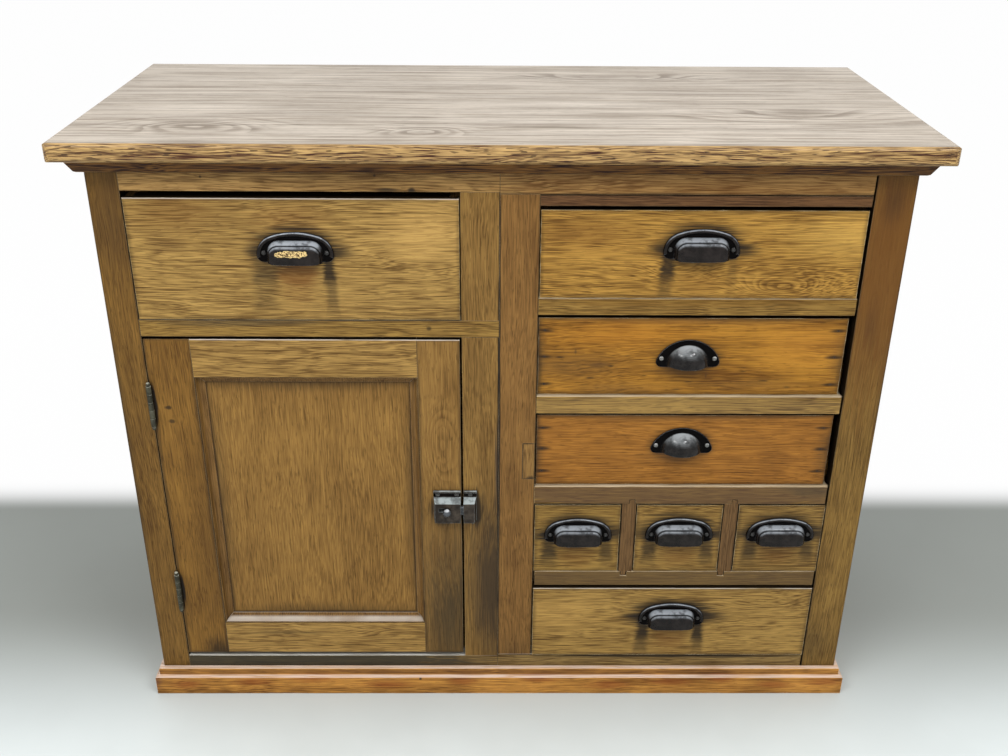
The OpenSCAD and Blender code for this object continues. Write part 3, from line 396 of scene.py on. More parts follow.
    sheen = t.around(bands, 0.3, roughness)
    sheen = t.scaled(pore, 0.15, sheen)
    height = t.scaled(ring, -0.3, t.times(streaks, 0.9))
    height = t.scaled(pore, -0.8, height)
    return t.finish(t.shader(colour, sheen, Specular_IOR_Level=gloss), height, bump)


# ---- metal ----


def iron(
    name, dark, sheen, bright, roughness=0.18, rub=0.7, bump=0.00006, up=0.0, slope=(0.2, 0.75),
    gloss=0.4, channel=0.0, groove=0.0, bars=(), patch=None,
):
    """Old black iron: mottled and rubbed pale on its edges, and with up, what looks up gets a painted pale
    sheen, as if it shone with the light above. slope is how far up a face looks where that starts and where
    it is full. channel is the height of the plate, which is painted black as shade with its gloss turned
    down, groove how far out a dark groove of painted shadow runs round it, bars the heights between which it
    is black, and patch a worn place of bare metal, as its middle, its half sizes and how far out it starts,
    in millimetres from the piece's foot. Its corners are painted black as shade."""
    t = Tree(bpy.data.materials.new(name))
    x, y, z = t.split(t.place())
    cloud = t.noise(t.place(), 70.0, 4.0, 0.6)
    grit = t.noise(t.place(), 700.0, 2.0, 0.6)
    mottle = t.noise(t.place(), 190.0, 3.0, 0.6)
    colour = t.mix(t.step(cloud, 0.38, 0.68), srgb(*dark), srgb(*sheen))
    colour = t.mix(t.step(mottle, 0.5, 0.72, 0.0, 0.5), colour, srgb(*[value * 0.55 for value in dark]))
    worn = t.edges(0.9 * MM)
    rubbed = t.times(worn, t.step(mottle, 0.3, 0.6, 0.3, 1.0), rub)
    # Painted sheen: faces that look up are made pale, as if they shone with the light above; from here rubbed
    # holds the worn edges and this sheen
    if up:
        lifted = t.times(t.facing("+Z", *slope), t.step(cloud, 0.38, 0.55, 0.35, 1.0), up)
        if groove:
            lifted = t.times(lifted, t.step(y, -groove * MM, -(groove + 1) * MM, 1.0, 0.8))
        rubbed = t.most(rubbed, lifted)
    colour = t.mix(rubbed, colour, srgb(*bright))
    black = 0.0
    # Painted shade: the plate round the cup stays black, except on its worn edges
    if channel:
        black = t.step(y, -(channel + 1.0) * MM, -(channel + 0.2) * MM, 0.0, 0.93)
        black = t.times(black, t.scaled(worn, -0.6, 1.0))
    # Painted shadow: a dark band in the groove round the cup
    if groove:
        off = t.math("ABSOLUTE", t.plus(y, (groove + 0.2) * MM))
        black = t.most(black, t.step(off, 1.1 * MM, 0.4 * MM, 0.0, 0.85))
    for low, high in bars:
        middle, half = (low + high) / 2 * MM, (high - low) / 2 * MM
        off = t.math("ABSOLUTE", t.minus(z, middle))
        bar = t.times(t.step(off, half, half - 0.6 * MM), t.step(cloud, 0.3, 0.6, 0.96, 0.75))
        black = t.most(black, bar)
    # Painted shade: black deep in the corners
    deep = t.times(t.crevices(0.004), 0.85)
    colour = t.mix(t.most(black, deep), colour, srgb(*BLACK_IRON))
    if patch:
        (cx, cz), (half_x, half_z), start = patch
        out_x = t.math("DIVIDE", t.math("ABSOLUTE", t.minus(x, cx * MM)), half_x * MM)
        out_z = t.math("DIVIDE", t.minus(z, cz * MM), half_z * MM)
        away = t.plus(t.math("POWER", out_x, 4.0), t.times(out_z, out_z))
        away = t.around(mottle, 2.2, away)
        away = t.plus(away, t.step(t.times(y, -1.0), start * MM, (start - 3.5) * MM, 0.0, 3.0))
        fleck = t.step(t.noise(t.place(), 520.0, 1.0, 0.5), 0.47, 0.56)
        gold = t.most(t.step(away, 0.55, 0.85), fleck)
        colour = t.mix(t.step(away, 1.05, 0.85), colour, t.mix(gold, srgb(70, 50, 28), srgb(214, 186, 126)))
    rough = t.around(mottle, 0.25, roughness)
    height = t.plus(t.times(grit, 0.3), t.times(mottle, 0.7))
    shader = t.shader(colour, rough, Specular_IOR_Level=gloss)
    # Where it is painted black, the gloss is turned down, so no reflection shows there
    if channel or groove or bars:
        t.put(shader.inputs["Specular IOR Level"], t.step(black, 0.0, 0.9, gloss, gloss * 0.12))
    return t.finish(shader, height, bump)


# ---- dressing the CAD nodes ----


def dress(node, material, bevel=0.7):
    """Gives a CAD node its material, and rounds its edges by that many millimetres."""
    thing = NODES[node]
    thing.data.materials.clear()
    thing.data.materials.append(material)
    if not bevel:
        return
    thing.modifiers.new("weld", "WELD").merge_threshold = 1e-6
    flat = thing.modifiers.new("flat", "DECIMATE")
    flat.decimate_type = "DISSOLVE"
    flat.angle_limit = math.radians(0.5)
    edge = thing.modifiers.new("edge", "BEVEL")
    edge.width = bevel * MM
    edge.segments = 2
    edge.limit_method = "ANGLE"
    edge.angle_limit = math.radians(40)
    thing.modifiers.new("smooth", "WEIGHTED_NORMAL").weight = 100


def mm_box(node):
    """A CAD node's box at rest, in millimetres."""
    low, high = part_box(node)
    return [value / MM for value in low], [value / MM for value in high]


def pull_centre(drawer):
    """The middle of a pull's foot, in millimetres."""
    low, high = mm_box(drawer + "_pull")
    return (low[0] + high[0]) / 2, low[2]


def pull_stains(drawer, halo, left, right, drop, reach=1.0, warm=0.3):
    """The black halo that iron leaves round a wide pull, and the streaks that run down from its two ends,
    each given as its strength and its half width."""
    x, z = pull_centre(drawer)
    half = WIDE_PULL_W / 2
    marks = [
        mark(x, z - 18, half - 14, drop * 0.8, warm, 0.6, (104, 62, 22)),
        mark(x, z + 20, half + 17 * reach, 38, halo, 0.5),
        mark(x - half - 2, z + 12, 24 * reach, 17, halo * 0.9, 0.95),
        mark(x + half + 5, z + 13, 31 * reach, 17, halo * 0.95, 0.95),
    ]
    tail = drop * 0.6
    for side, (strength, width) in ((-1, left), (1, right)):
        end = x + side * (half - 8)
        marks.append(mark(end, z - 10, width * 1.1, 28, strength, 0.7, square=True))
        marks.append(mark(end + 2 * side, z - tail, width * 1.2, tail, strength * 0.6, 0.8, square=True))
    return marks


def board(node, name, tone, bevel=0.7, rim=None, crest=None, **look):
    """Dresses a CAD node in wood. rim is the width and the strength of the dirt and painted shade at its
    edges and crest how strong the painted highlight with wear along its top edge is."""
    low, high = mm_box(node)
    if rim:
        look["rim"] = ((low, high), *rim)
    if crest:
        look["crest"] = (high[2], crest)
    dress(node, wood(name, tone, **look), bevel)


def dress_frame():
    board(
        "worktop", "oak_worktop", (146, 118, 74), contrast=1.45, spacing=8.0, pith=(0.13, 0.80), fibre=1.2,
        blotch=0.4, warp=16, line=(60, 1.7), top_tone=(168, 157, 144), flecks=0.7, wear=0.6,
        grime=0.2, top_line=(280, 6.2), top_contrast=0.8, roughness=0.4, gloss=0.3, bump=0.0003, bevel=0,
        figures=[
            oval(-400, -160, 150, 60, 42, flat=True),
            oval(-105, -180, 90, 46, 30, flat=True),
            oval(170, 146, 230, 60, 46, flat=True),
            oval(400, -90, 200, 60, 26, flat=True),
        ])
    board(
        "top_moulding", "dark_moulding", (86, 57, 23), contrast=1.5, fibre=1.5, line=(70, 2.6), grime=0.6,
        bevel=0.5)
    left_edge = mm_box("left_stile")[0][0]
    right_low, right_high = mm_box("right_stile")
    board(
        "left_stile", "oak_left_stile", (107, 78, 33), along="Z", pith=(0.1, -0.2), hidden="+X", rings=0.12,
        fibre=0.6, rim=(2.5, 0.6), bevel=1.0,
        stains=[
            mark(left_edge, 420, 9, 420, 0.5, 0.9),
            mark(left_edge + 30, 790, 60, 120, 0.5, 1.0, (58, 40, 20)),
        ])
    board(
        "right_stile", "oak_right_stile", (116, 89, 42), along="Z", pith=(0.12, 0.3), hidden="-X",
        rings=0.12, fibre=0.6, rim=(2.5, 0.6), bevel=1.0,
        stains=[
            mark(right_high[0], 620, 10, 260, 0.5, 0.9),
            mark(right_low[0] + 24, 730, 110, 310, 0.85, 0.8, (96, 60, 20)),
            mark(right_low[0] + 26, 815, 24, 46, 0.6, 1.0, (56, 34, 16)),
            mark(right_low[0] + 22, 640, 16, 60, 0.35, 1.0, (60, 38, 18)),
            mark(right_low[0] + 10, 90, 40, 60, 0.35, 1.0, (60, 48, 28)),
        ])
    seam_x = mm_box("inner_stiles")[1][0]
    seam = mark(seam_x, 430, 2.4, 560, 1.0, 0.4)
    centre_low = mm_box("centre_stile")[0]
    board(
        "centre_stile", "oak_centre_stile", (116, 84, 42), along="Z", pith=(0.14, 0.2), fibre=0.5,
        hidden="+X -X", rings=0.12, rim=(2.0, 0.6),
        stains=[seam, mark(centre_low[0] + 26, centre_low[2], 40, 70, 0.35, 0.9)])
    keeper_low, keeper_high = mm_box("latch_keeper")
    board(
        "inner_stiles", "oak_inner_stiles", (121, 92, 46), along="Z", pith=(0.1, -0.25), hidden=GAPS,
        rings=0.12, fibre=0.55,
        stains=[
            mark(seam_x - 4, 205, 60, 235, 0.85, 0.8, (42, 33, 24)),
            mark(keeper_high[0] + 1, keeper_low[2] + 18, 9, 40, 0.85, 0.5),
            mark(keeper_high[0] - 14, keeper_low[2], 22, 10, 0.8, 0.5),
            mark(seam_x, 425, 9, 90, 0.75, 0.8, (30, 30, 34)),
            seam,
        ])
    rails_low, rails_high = mm_box("top_rails")
    board(
        "top_rails", "oak_top_rails", (147, 115, 68), pith=(0.1, 0.7), blotch=0.8, hidden=UNDER_RAIL,
        rim=(3.5, 0.75),
        stains=[
            mark(270, rails_high[2] - 22, 330, 50, 0.3, 0.3, (104, 58, 14)),
            mark(-150, rails_low[2] + 5, 24, 5, 0.8, 0.7),
            mark(-118, rails_low[2] + 4, 7, 6, 0.9, 0.6),
            mark(-388, rails_low[2] + 22, 3, 3, 0.8, 0.7),
            mark(-165, rails_low[2] + 24, 3, 3, 0.8, 0.7),
        ])
    middle_top = mm_box("mid_rail")[1][2]
    board(
        "mid_rail", "oak_mid_rail", (127, 99, 48), pith=(0.09, 0.6), hidden=UNDER_RAIL, dust=0.3,
        rim=(2, 0.7),
        stains=[
            mark(-350, middle_top - 3, 150, 9, 0.55, 0.7, (52, 46, 36)),
            mark(-100, middle_top - 12, 5, 4, 0.7, 0.7),
        ])
    board("sub_rail", "brown_sub_rail", (86, 59, 34), wear=0.2, hidden=UNDER_RAIL, rim=(2, 0.5))
    board(
        "bottom_rails", "grimy_sill", (120, 97, 57), dust=0.9, dust_colour=(196, 194, 186), hidden="+X -X",
        rim=(2, 0.6),
        stains=[
            mark(-345, 35, 330, 60, 0.88, 0.2, (46, 44, 36)),
            mark(-80, 40, 80, 60, 0.4, 0.8, (66, 56, 40)),
            # Painted shadow along the top of the right sill, under the drawer front
            mark(265, mm_box("bottom_rails")[1][2], 270, 9, 0.85, 0.5),
        ])
    divider_edge = mm_box("drawer_dividers")[0][0]
    board(
        "drawer_dividers", "divider_wood", (125, 97, 46), dust=0.9, wear=0.6, dust_colour=(186, 168, 140),
        pith=(0.1, 0.3), hidden=UNDER_RAIL, blotch=0.8, bevel=1.2,
        stains=[
            mark(divider_edge + 14, 690, 22, 16, 0.65, 0.8),
            mark(divider_edge + 6, 700, 10, 12, 0.6, 0.7),
            mark(396, 684, 8, 4, 0.7, 0.7),
            mark(265, 690, 310, 24, 0.4, 0.2, (98, 66, 16)),
            mark(265, mm_box("third_drawer_front")[1][2] + 12, 310, 26, 0.1, 0.2, (176, 152, 112)),
            mark(265, 368, 300, 26, 0.7, 0.15, (84, 62, 44)),
            mark(265, 217, 300, 26, 0.7, 0.15, (82, 64, 42)),
            mark(480, 385, 90, 26, 0.5, 0.6, (58, 50, 38)),
        ])
    board(
        "drawer_muntins", "muntin_wood", (95, 70, 41), along="Z", fibre=0.6, wear=0.2, hidden="+X -X",
        rim=(1.5, 0.6))
    patch_low, patch_high = mm_box("stile_patch")
    board(
        "stile_patch", "oak_patch", (120, 90, 48), along="Z", fibre=0.6, hidden=GAPS, rim=(2.2, 0.9),
        stains=[mark(patch_high[0] - 5, patch_low[2], 9, 7, 0.8)])
    for side, word in SIDES:
        node = word + "_side_boards"
        board(
            node, "side_" + node, (126, 95, 52), along="Z", warp=24, pith=(side * 0.6, 0.3 * side),
            spacing=4.0)
    board(
        "back_boards", "pine_back", (132, 104, 66), along="Z", rings=0.45, pith=(-0.33, 0.1), spacing=5.0,
        roughness=0.7, wear=0.1)
    for node in ("floor_board", "partition", "shelf", "cleats_and_blocks", "drawer_runners"):
        along = "Y" if node in ("drawer_runners", "cleats_and_blocks") else "X"
        board(node, "inside_" + node, INSIDE, along=along, roughness=0.7, wear=0.1, bevel=0.4)
    base_low, base_high = mm_box("base_moulding")
    red_clouds = [
        mark(x, 18 + 6 * (i % 3), 34 + 9 * (i % 4), 12, 0.55, 0.9, (120, 52, 18))
        for i, x in enumerate((-500, -395, -300, -178, -60, 62, 175, 270, 352, 440, 520))
    ]
    board(
        "base_moulding", "plinth_wood", (171, 121, 56), contrast=1.05, pith=(0.12, 0.1), blotch=0.9,
        wear=0.9, wear_colour=(228, 208, 188), dust=0.92, dust_colour=(204, 182, 166), grime=0.5,
        roughness=0.36, fibre=0.7, bevel=0.5,
        stains=[
            *red_clouds,
            mark(0, base_high[2] - 7, 640, 5, 0.5, 0.3, (84, 54, 34), square=True, all_round=True),
            mark(-127, 30, 3, 2.5, 0.9, 0.5),
            mark(base_low[0], 30, 14, 30, 0.5, 0.9, (84, 50, 50)),
        ])


def dress_door():
    latch_high = mm_box("door_latch_stile")[1]
    case_low, case_high = mm_box("latch_case")
    hinge_low, hinge_high = mm_box("door_hinge_stile")
    leaves_low, leaves_high = mm_box("hinge_door_leaves")
    barrels = (leaves_low[2] + HINGE_LENGTH / 2, leaves_high[2] - HINGE_LENGTH / 2)
    board(
        "door_hinge_stile", "oak_hinge_stile", (114, 82, 33), along="Z", pith=(0.1, -0.6), hidden=GAPS,
        rings=0.12, fibre=0.55, rim=(5, 0.6),
        stains=[
            mark(hinge_high[0] - 12, hinge_low[2] - 4, 36, 50, 0.85, 0.9),
            mark(hinge_high[0] - 6, 280, 40, 260, 0.4, 1.0, (66, 42, 14)),
            # Painted shadow beside each hinge barrel
            *[mark(hinge_low[0] + 2, z, 7, 38, 1.0, 0.4) for z in barrels],
            mark(hinge_low[0] + 22, 512, 7, 4, 0.8, 0.7),
            mark(hinge_low[0] + 25, 490, 7, 4, 0.7, 0.7),
        ])
    case_x = (case_low[0] + case_high[0]) / 2
    board(
        "door_latch_stile", "oak_latch_stile", (125, 94, 47), along="Z", pith=(0.07, -0.1), hidden=GAPS,
        rings=0.15, fibre=0.5, rim=(5, 0.55), crest=0.9,
        figures=[oval(-86, 452, 34, 96, 16)],
        stains=[
            mark(case_x, case_low[2] + 20, 30, 31, 0.85, 0.35),
            mark(case_x - 6, case_low[2] - 3, 24, 12, 0.7, 0.8),
            mark(latch_high[0] - 18, 150, 70, 255, 0.78, 1.0, (38, 34, 24)),
        ])
    board(
        "door_rails", "oak_door_rails", (141, 111, 60), pith=(0.08, 0.55), rings=0.4, hidden=GAPS,
        rim=(2.2, 0.75), crest=0.8,
        figures=[oval(-150, 118, 120, 20, 14)],
        stains=[mark(-110, 560, 3, 3, 0.8), mark(-330, 112, 90, 5, 0.4)])
    bead_low, bead_high = mm_box("door_moulding")
    bead_width = 12
    low, high = [value + bead_width for value in bead_low], [value - bead_width for value in bead_high]
    middle_z = (low[2] + high[2]) / 2
    # The panel lies back under the moulding: its dark rim and the four marks along its edges are painted
    # shade
    dress("door_panel", wood(
        "oak_panel", (127, 95, 46), along="Z", pith=(0.16, -0.28), rings=0.12, fibre=0.55, line=(60, 2.2),
        blotch=0.4, grime=0.8, wear=0.0, rim=((low, high), 4.5, 0.8),
        stains=[
            mark(-270, low[2], 210, 26, 0.55, 1.0),
            mark(-270, high[2], 230, 22, 0.45, 1.0),
            mark(low[0], middle_z, 24, 300, 0.4, 1.0),
            mark(high[0], middle_z, 20, 300, 0.4, 1.0),
        ]), bevel=0.3)
    board(
        "door_moulding", "oak_bead", (108, 79, 40), along="Z", grime=0.95, dust=0.72,
        dust_colour=(190, 180, 168), wear=0.25, even=True, fibre=0.6, rim=(2.0, 0.85), bevel=0.4)


def dress_drawers():
    x, z = pull_centre("left_drawer")
    faces = {
        "left_drawer": dict(
            tone=(143, 114, 62), pith=(0.05, 0.62), spacing=3.4, crest=0.75,
            stains=[
                mark(x - 6, z + 60, 80, 30, 0.4, 1.0, (104, 66, 26)),
                mark(-425, 806, 100, 56, 0.5, 1.0, (96, 62, 20)),
                mark(x, z - 16, 34, 22, 0.5, 0.45, (108, 62, 20)),
                mark(-440, 752, 34, 12, 0.35, 0.9, (70, 44, 20)),
                mark(-100, 775, 110, 70, 0.35, 1.0, (198, 158, 90)),
                *pull_stains("left_drawer", 0.88, (0.55, 20), (0.88, 10), 72),
            ]),
        "top_drawer": dict(
            tone=(147, 111, 49), pith=(0.03, 0.30), spacing=2.4,
            figures=[oval(380, 692, 110, 36, 30), oval(236, 716, 70, 30, 16)],
            stains=[
                mark(110, 770, 110, 40, 0.4, 1.0, (104, 66, 22)),
                mark(480, 770, 150, 60, 0.4, 1.0, (204, 164, 84)),
                *pull_stains("top_drawer", 0.92, (0.85, 12), (0.25, 8), 62, warm=0.15),
            ]),
        "second_drawer": dict(
            tone=(141, 98, 31), pith=(0.06, 0.32), rings=0.25, spacing=4.2, fibre=0.7, blotch=0.9,
            stains=pine_stains("second_drawer")),
        "third_drawer": dict(
            tone=(138, 92, 34), pith=(0.06, 0.15), rings=0.2, spacing=4.0, fibre=0.6,
            stains=pine_stains("third_drawer")),
        "small_drawer_1": dict(
            tone=(130, 102, 50), pith=(0.05, 0.16), spacing=2.8,
            stains=pull_stains("small_drawer_1", 0.85, (0.72, 14), (0.55, 12), 46)),
        "small_drawer_2": dict(
            tone=(128, 100, 50), pith=(0.04, 0.10), spacing=2.8,
            stains=pull_stains("small_drawer_2", 0.85, (0.66, 13), (0.6, 12), 44)),
        "small_drawer_3": dict(
            tone=(124, 97, 49), pith=(0.06, 0.14), spacing=3.0,
            stains=pull_stains("small_drawer_3", 0.8, (0.6, 13), (0.5, 12), 42)),
        "bottom_drawer": dict(
            tone=(138, 109, 57), pith=(0.02, -0.20), spacing=3.6, crest=0.8,
            figures=[oval(420, 168, 110, 30, 16)],
            stains=[
                mark(500, 214, 50, 30, 0.4, 1.0, (96, 66, 36)),
                mark(90, 150, 110, 60, 0.3, 1.0, (186, 146, 78)),
                *pull_stains("bottom_drawer", 0.92, (0.88, 12), (0.85, 10), 56, 1.5, warm=0.4),
            ]),
    }
    for drawer, look in faces.items():
        low, high = mm_box(drawer + "_front")
        if drawer.startswith("small"):
            look["figures"] = [oval((low[0] + high[0]) / 2 - 20, high[2] + 4, 90, 44, 18)]
        board(
            drawer + "_front", "face_" + drawer, wear=0.85, wear_colour=(206, 188, 150), hidden=GAPS,
            rim=(7, 0.45), bevel=0.9, **look)
        board(
            drawer + "_box", "box_" + drawer, INSIDE, along="Y", roughness=0.7, wear=0.1, pith=(0.1, 0.1),
            bevel=0.4)


def nail_places(drawer):
    """Where the nails go through the ends of an orange drawer front, in millimetres."""
    low, high = mm_box(drawer + "_front")
    heights = [0.14, 0.5, 0.84] if drawer == "second_drawer" else [0.2, 0.52, 0.82]
    rise = high[2] - low[2]
    return [(x, low[2] + rise * h) for x in (low[0] + 9, high[0] - 12) for h in heights]


def pine_stains(drawer):
    """Dark ends, a painted shadow along the top under the divider, rust along the grain at each nail, and on
    the second drawer the dirt and scratches at the left and two warm places."""
    low, high = mm_box(drawer + "_front")
    middle_x, middle_z = (low[0] + high[0]) / 2, (low[2] + high[2]) / 2
    marks = [
        mark(low[0], middle_z, 16, 80, 0.5, 0.9, (70, 48, 26)),
        mark(high[0], middle_z, 26, 70, 0.55, 0.9, (60, 44, 26)),
        # Painted shadow along the top, under the divider above
        mark(middle_x, high[2], 260, 14, 0.45, 0.7, (96, 66, 34)),
    ]
    if drawer == "second_drawer":
        for dx, dz, half_x, half_z, strength in (
            (40, 44, 130, 34, 0.45), (110, 10, 110, 16, 0.4), (300, 16, 130, 15, 0.35), (86, 46, 22, 7, 0.5),
            (102, 44, 6, 2.5, 0.8), (74, 26, 8, 1.6, 0.8), (30, 58, 9, 2.0, 0.8), (52, 66, 2.2, 7, 0.7),
            (212, 20, 10, 1.8, 0.8), (236, 30, 2.0, 6, 0.75), (318, 22, 9, 1.8, 0.8), (288, 36, 7, 1.5, 0.7),
            (352, 12, 8, 1.8, 0.7), (150, 30, 7, 1.5, 0.7), (124, 60, 9, 1.5, 0.6), (196, 8, 12, 1.8, 0.7),
        ):
            colour = (70, 50, 28) if half_z > 5 else (34, 25, 16)
            marks.append(mark(low[0] + dx, low[2] + dz, half_x, half_z, strength, 1.0, colour))
        marks.append(mark(170, high[2] - 24, 150, 34, 0.3, 1.0, (190, 124, 36)))
        marks.append(mark(420, high[2] - 40, 110, 44, 0.3, 1.0, (194, 132, 48)))
    for x, z in nail_places(drawer):
        marks.append(mark(x, z, 17, 4, 0.85, 0.8))
    x, z = pull_centre(drawer)
    marks.append(mark(x, z + 14, 54, 30, 0.5, 0.35))
    marks.append(mark(x - 8, z - 8, 66, 12, 0.4, 0.8, (70, 48, 26)))
    return marks


def dress_metal():
    """The latch, with a black bar across below its top, the hinges and their screws."""
    plate_top = mm_box("latch_case")[1][2]
    latch = iron(
        "latch_iron", (36, 30, 25), (66, 58, 50), (156, 164, 164), roughness=0.35, up=0.95, slope=(0.45, 0.8),
        rub=0.8, gloss=0.14, bars=[(plate_top - 9.6, plate_top - 2.8)])
    bolt = iron(
        "bolt_iron", (48, 50, 53), (70, 73, 77), (206, 210, 214), roughness=0.25, up=0.95, slope=(0.62, 0.95),
        rub=0.3)
    hinge = iron(
        "hinge_iron", (44, 43, 34), (78, 77, 63), (190, 190, 174), roughness=0.5, up=0.6, rub=0.5, gloss=0.15)
    screw = iron("screw_steel", (44, 42, 39), (66, 63, 60), (150, 150, 146), roughness=0.35)
    for material, bevel, nodes in (
        (latch, 0.5, ("latch_case", "latch_keeper")),
        (bolt, 0.3, ("latch_bolt",)),
        (hinge, 0.25, ("hinge_frame_leaves", "hinge_door_leaves", "hinge_pins")),
        (screw, 0, ("frame_screws", "door_screws", "latch_spring")),
    ):
        for node in nodes:
            dress(node, material, bevel)


# ---- pulls ----


def add_piece(name, mesh, material, body, place=(0, 0, 0)):
    """A piece that Blender adds to a body."""
    thing = bpy.data.objects.new(name, mesh)
    bpy.context.scene.collection.objects.link(thing)
    thing.location = place
    mesh.materials.append(material)
    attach(thing, body)
    return thing


def arc(cx, cz, r, start, end, steps):
    """Points on an arc, in degrees from the X axis."""
    turns = [math.radians(start + (end - start) * i / steps) for i in range(steps + 1)]
    return [(cx + r * math.cos(a), cz + r * math.sin(a)) for a in turns]


def arch(w, h, shoulder, lobe, inset, foot=True):
    """The outline of a pull's plate, as in the CAD part, from the right of its foot to the left."""
    sx = w / 2 - shoulder
    rise = h - lobe
    top_r = (sx * sx + rise * rise - shoulder * shoulder) / (2 * (rise - shoulder))
    top_z = h - top_r
    meet = math.degrees(math.atan2(lobe - top_z, sx))
    half = arc(w / 2 - lobe, lobe, lobe - inset, -90 if foot else -20, 0, 8)[:-1]
    half += arc(sx, lobe, shoulder - inset, 0, meet, 14)[:-1]
    half += arc(0, top_z, top_r - inset, meet, 90, 14)
    return half + [(-x, z) for x, z in reversed(half[:-1])]


def dome_ring(a, h, corner, foot):
    """The outline of a rounded box from the right of its foot to the left, with its top at the height h."""
    corner = min(corner, a * 0.98, h * 0.8)
    foot = max(min(foot, a * 0.9, h * 0.15), 0.05)
    half = arc(a - foot, foot, foot, -90, 0, 5)
    half += [(a, foot + (h - corner - foot) * i / 3) for i in range(1, 3)]
    half += arc(a - corner, h - corner, corner, 0, 90, 12)
    half += [((a - corner) * (1 - i / 4), h) for i in range(1, 5)]
    return half + [(-x, z) for x, z in reversed(half[:-1])]


def finished(bm, name):
    """The mesh of bm, with its faces turned out. bm is freed."""
    bmesh.ops.recalc_face_normals(bm, faces=bm.faces)
    mesh = bpy.data.meshes.new(name)
    bm.to_mesh(mesh)
    bm.free()
    return mesh


def add_strip(bm, rings):
    """Quads between rings of points that all have the same number of points."""
    rows = [[bm.verts.new(point) for point in ring] for ring in rings]
    for a, b in zip(rows, rows[1:]):
        for i in range(len(a) - 1):
            bm.faces.new((a[i], a[i + 1], b[i + 1], b[i]))
    return rows


def solid_from_sheet(rings):
    """A closed shell: the sheet through the rings and a copy of it set in by the shell's thickness."""
    bm = bmesh.new()
    add_strip(bm, rings)
    bmesh.ops.remove_doubles(bm, verts=bm.verts, dist=1e-7)
    return modified(finished(bm, "sheet"), [
        ("SOLIDIFY", dict(thickness=SHELL_T, offset=-1.0, use_even_offset=True)),
    ])


def modified(mesh, steps):
    """The mesh after a list of modifiers."""
    thing = bpy.data.objects.new("work", mesh)
    bpy.context.scene.collection.objects.link(thing)
    for kind, values in steps:
        modifier = thing.modifiers.new(kind, kind)
        for key, value in values.items():
            setattr(modifier, key, value)
    result = bpy.data.meshes.new_from_object(thing.evaluated_get(bpy.context.evaluated_depsgraph_get()))
    bpy.data.objects.remove(thing)
    return result


def slab(outline, y0, y1):
    """A flat plate with that outline, from y0 back to y1."""
    bm = bmesh.new()
    front = [bm.verts.new((x, y0, z)) for x, z in outline]
    back = [bm.verts.new((x, y1, z)) for x, z in outline]
    bm.faces.new(front)
    bm.faces.new(back[::-1])
    for i in range(len(outline)):
        j = (i + 1) % len(outline)
        bm.faces.new((front[i], back[i], back[j], front[j]))
    return finished(bm, "slab")


def bar_along(path, width, height, base):
    """A bar with a round back that follows a path on the plate, closed at both ends."""
    bm = bmesh.new()
    steps = 8
    rings = []
    for i, (x, z) in enumerate(path):
        x0, z0 = path[max(i - 1, 0)]
        x1, z1 = path[min(i + 1, len(path) - 1)]
        along = Vector((x1 - x0, 0, z1 - z0)).normalized()
        across = Vector((-along.z, 0, along.x))
        ring = []
        for k in range(steps + 1):
            a = math.pi * k / steps
            ring.append(Vector((x, -base - height * math.sin(a), z)) + across * (math.cos(a) * width / 2))
        ring += [Vector((x, 0, z)) - across * width / 2, Vector((x, 0, z)) + across * width / 2]
        rings.append([*ring, ring[0]])
    rows = add_strip(bm, rings)
    for row in (rows[0], rows[-1]):
        bm.faces.new(row[:-1])
    bmesh.ops.remove_doubles(bm, verts=bm.verts, dist=1e-7)
    return finished(bm, "bar")


def joined(meshes):
    """One mesh of all the meshes, each left as it is."""
    bm = bmesh.new()
    for mesh in meshes:
        bm.from_mesh(mesh)
    result = bpy.data.meshes.new("joined")
    bm.to_mesh(result)
    bm.free()
    return result


def cast(meshes, name):
    """Melts closed shells, given in millimetres, into one casting with soft inner corners, in metres."""
    mesh = modified(joined(meshes), [
        ("REMESH", dict(mode="VOXEL", voxel_size=0.55, adaptivity=0.0)),
        ("SMOOTH", dict(factor=0.5, iterations=2)),
        ("DECIMATE", dict(ratio=0.5)),
    ])
    mesh.transform(Matrix.Scale(MM, 4))
    mesh.name = name
    for polygon in mesh.polygons:
        polygon.use_smooth = True
    mesh.materials.clear()
    return mesh


def pull_sizes(drawer):
    """The width and height of a pull and how far it stands out from its drawer, in millimetres."""
    low, high = mm_box(drawer + "_pull")
    return high[0] - low[0], high[2] - low[2], mm_box(drawer + "_front")[0][1] - low[1]


def cup_out(depth):
    """How far out a depth in the rows of the wide cup is, on a pull of the CAD part's size."""
    return depth * (pull_sizes("top_drawer")[2] - 0.2) / CUP_DEPTH


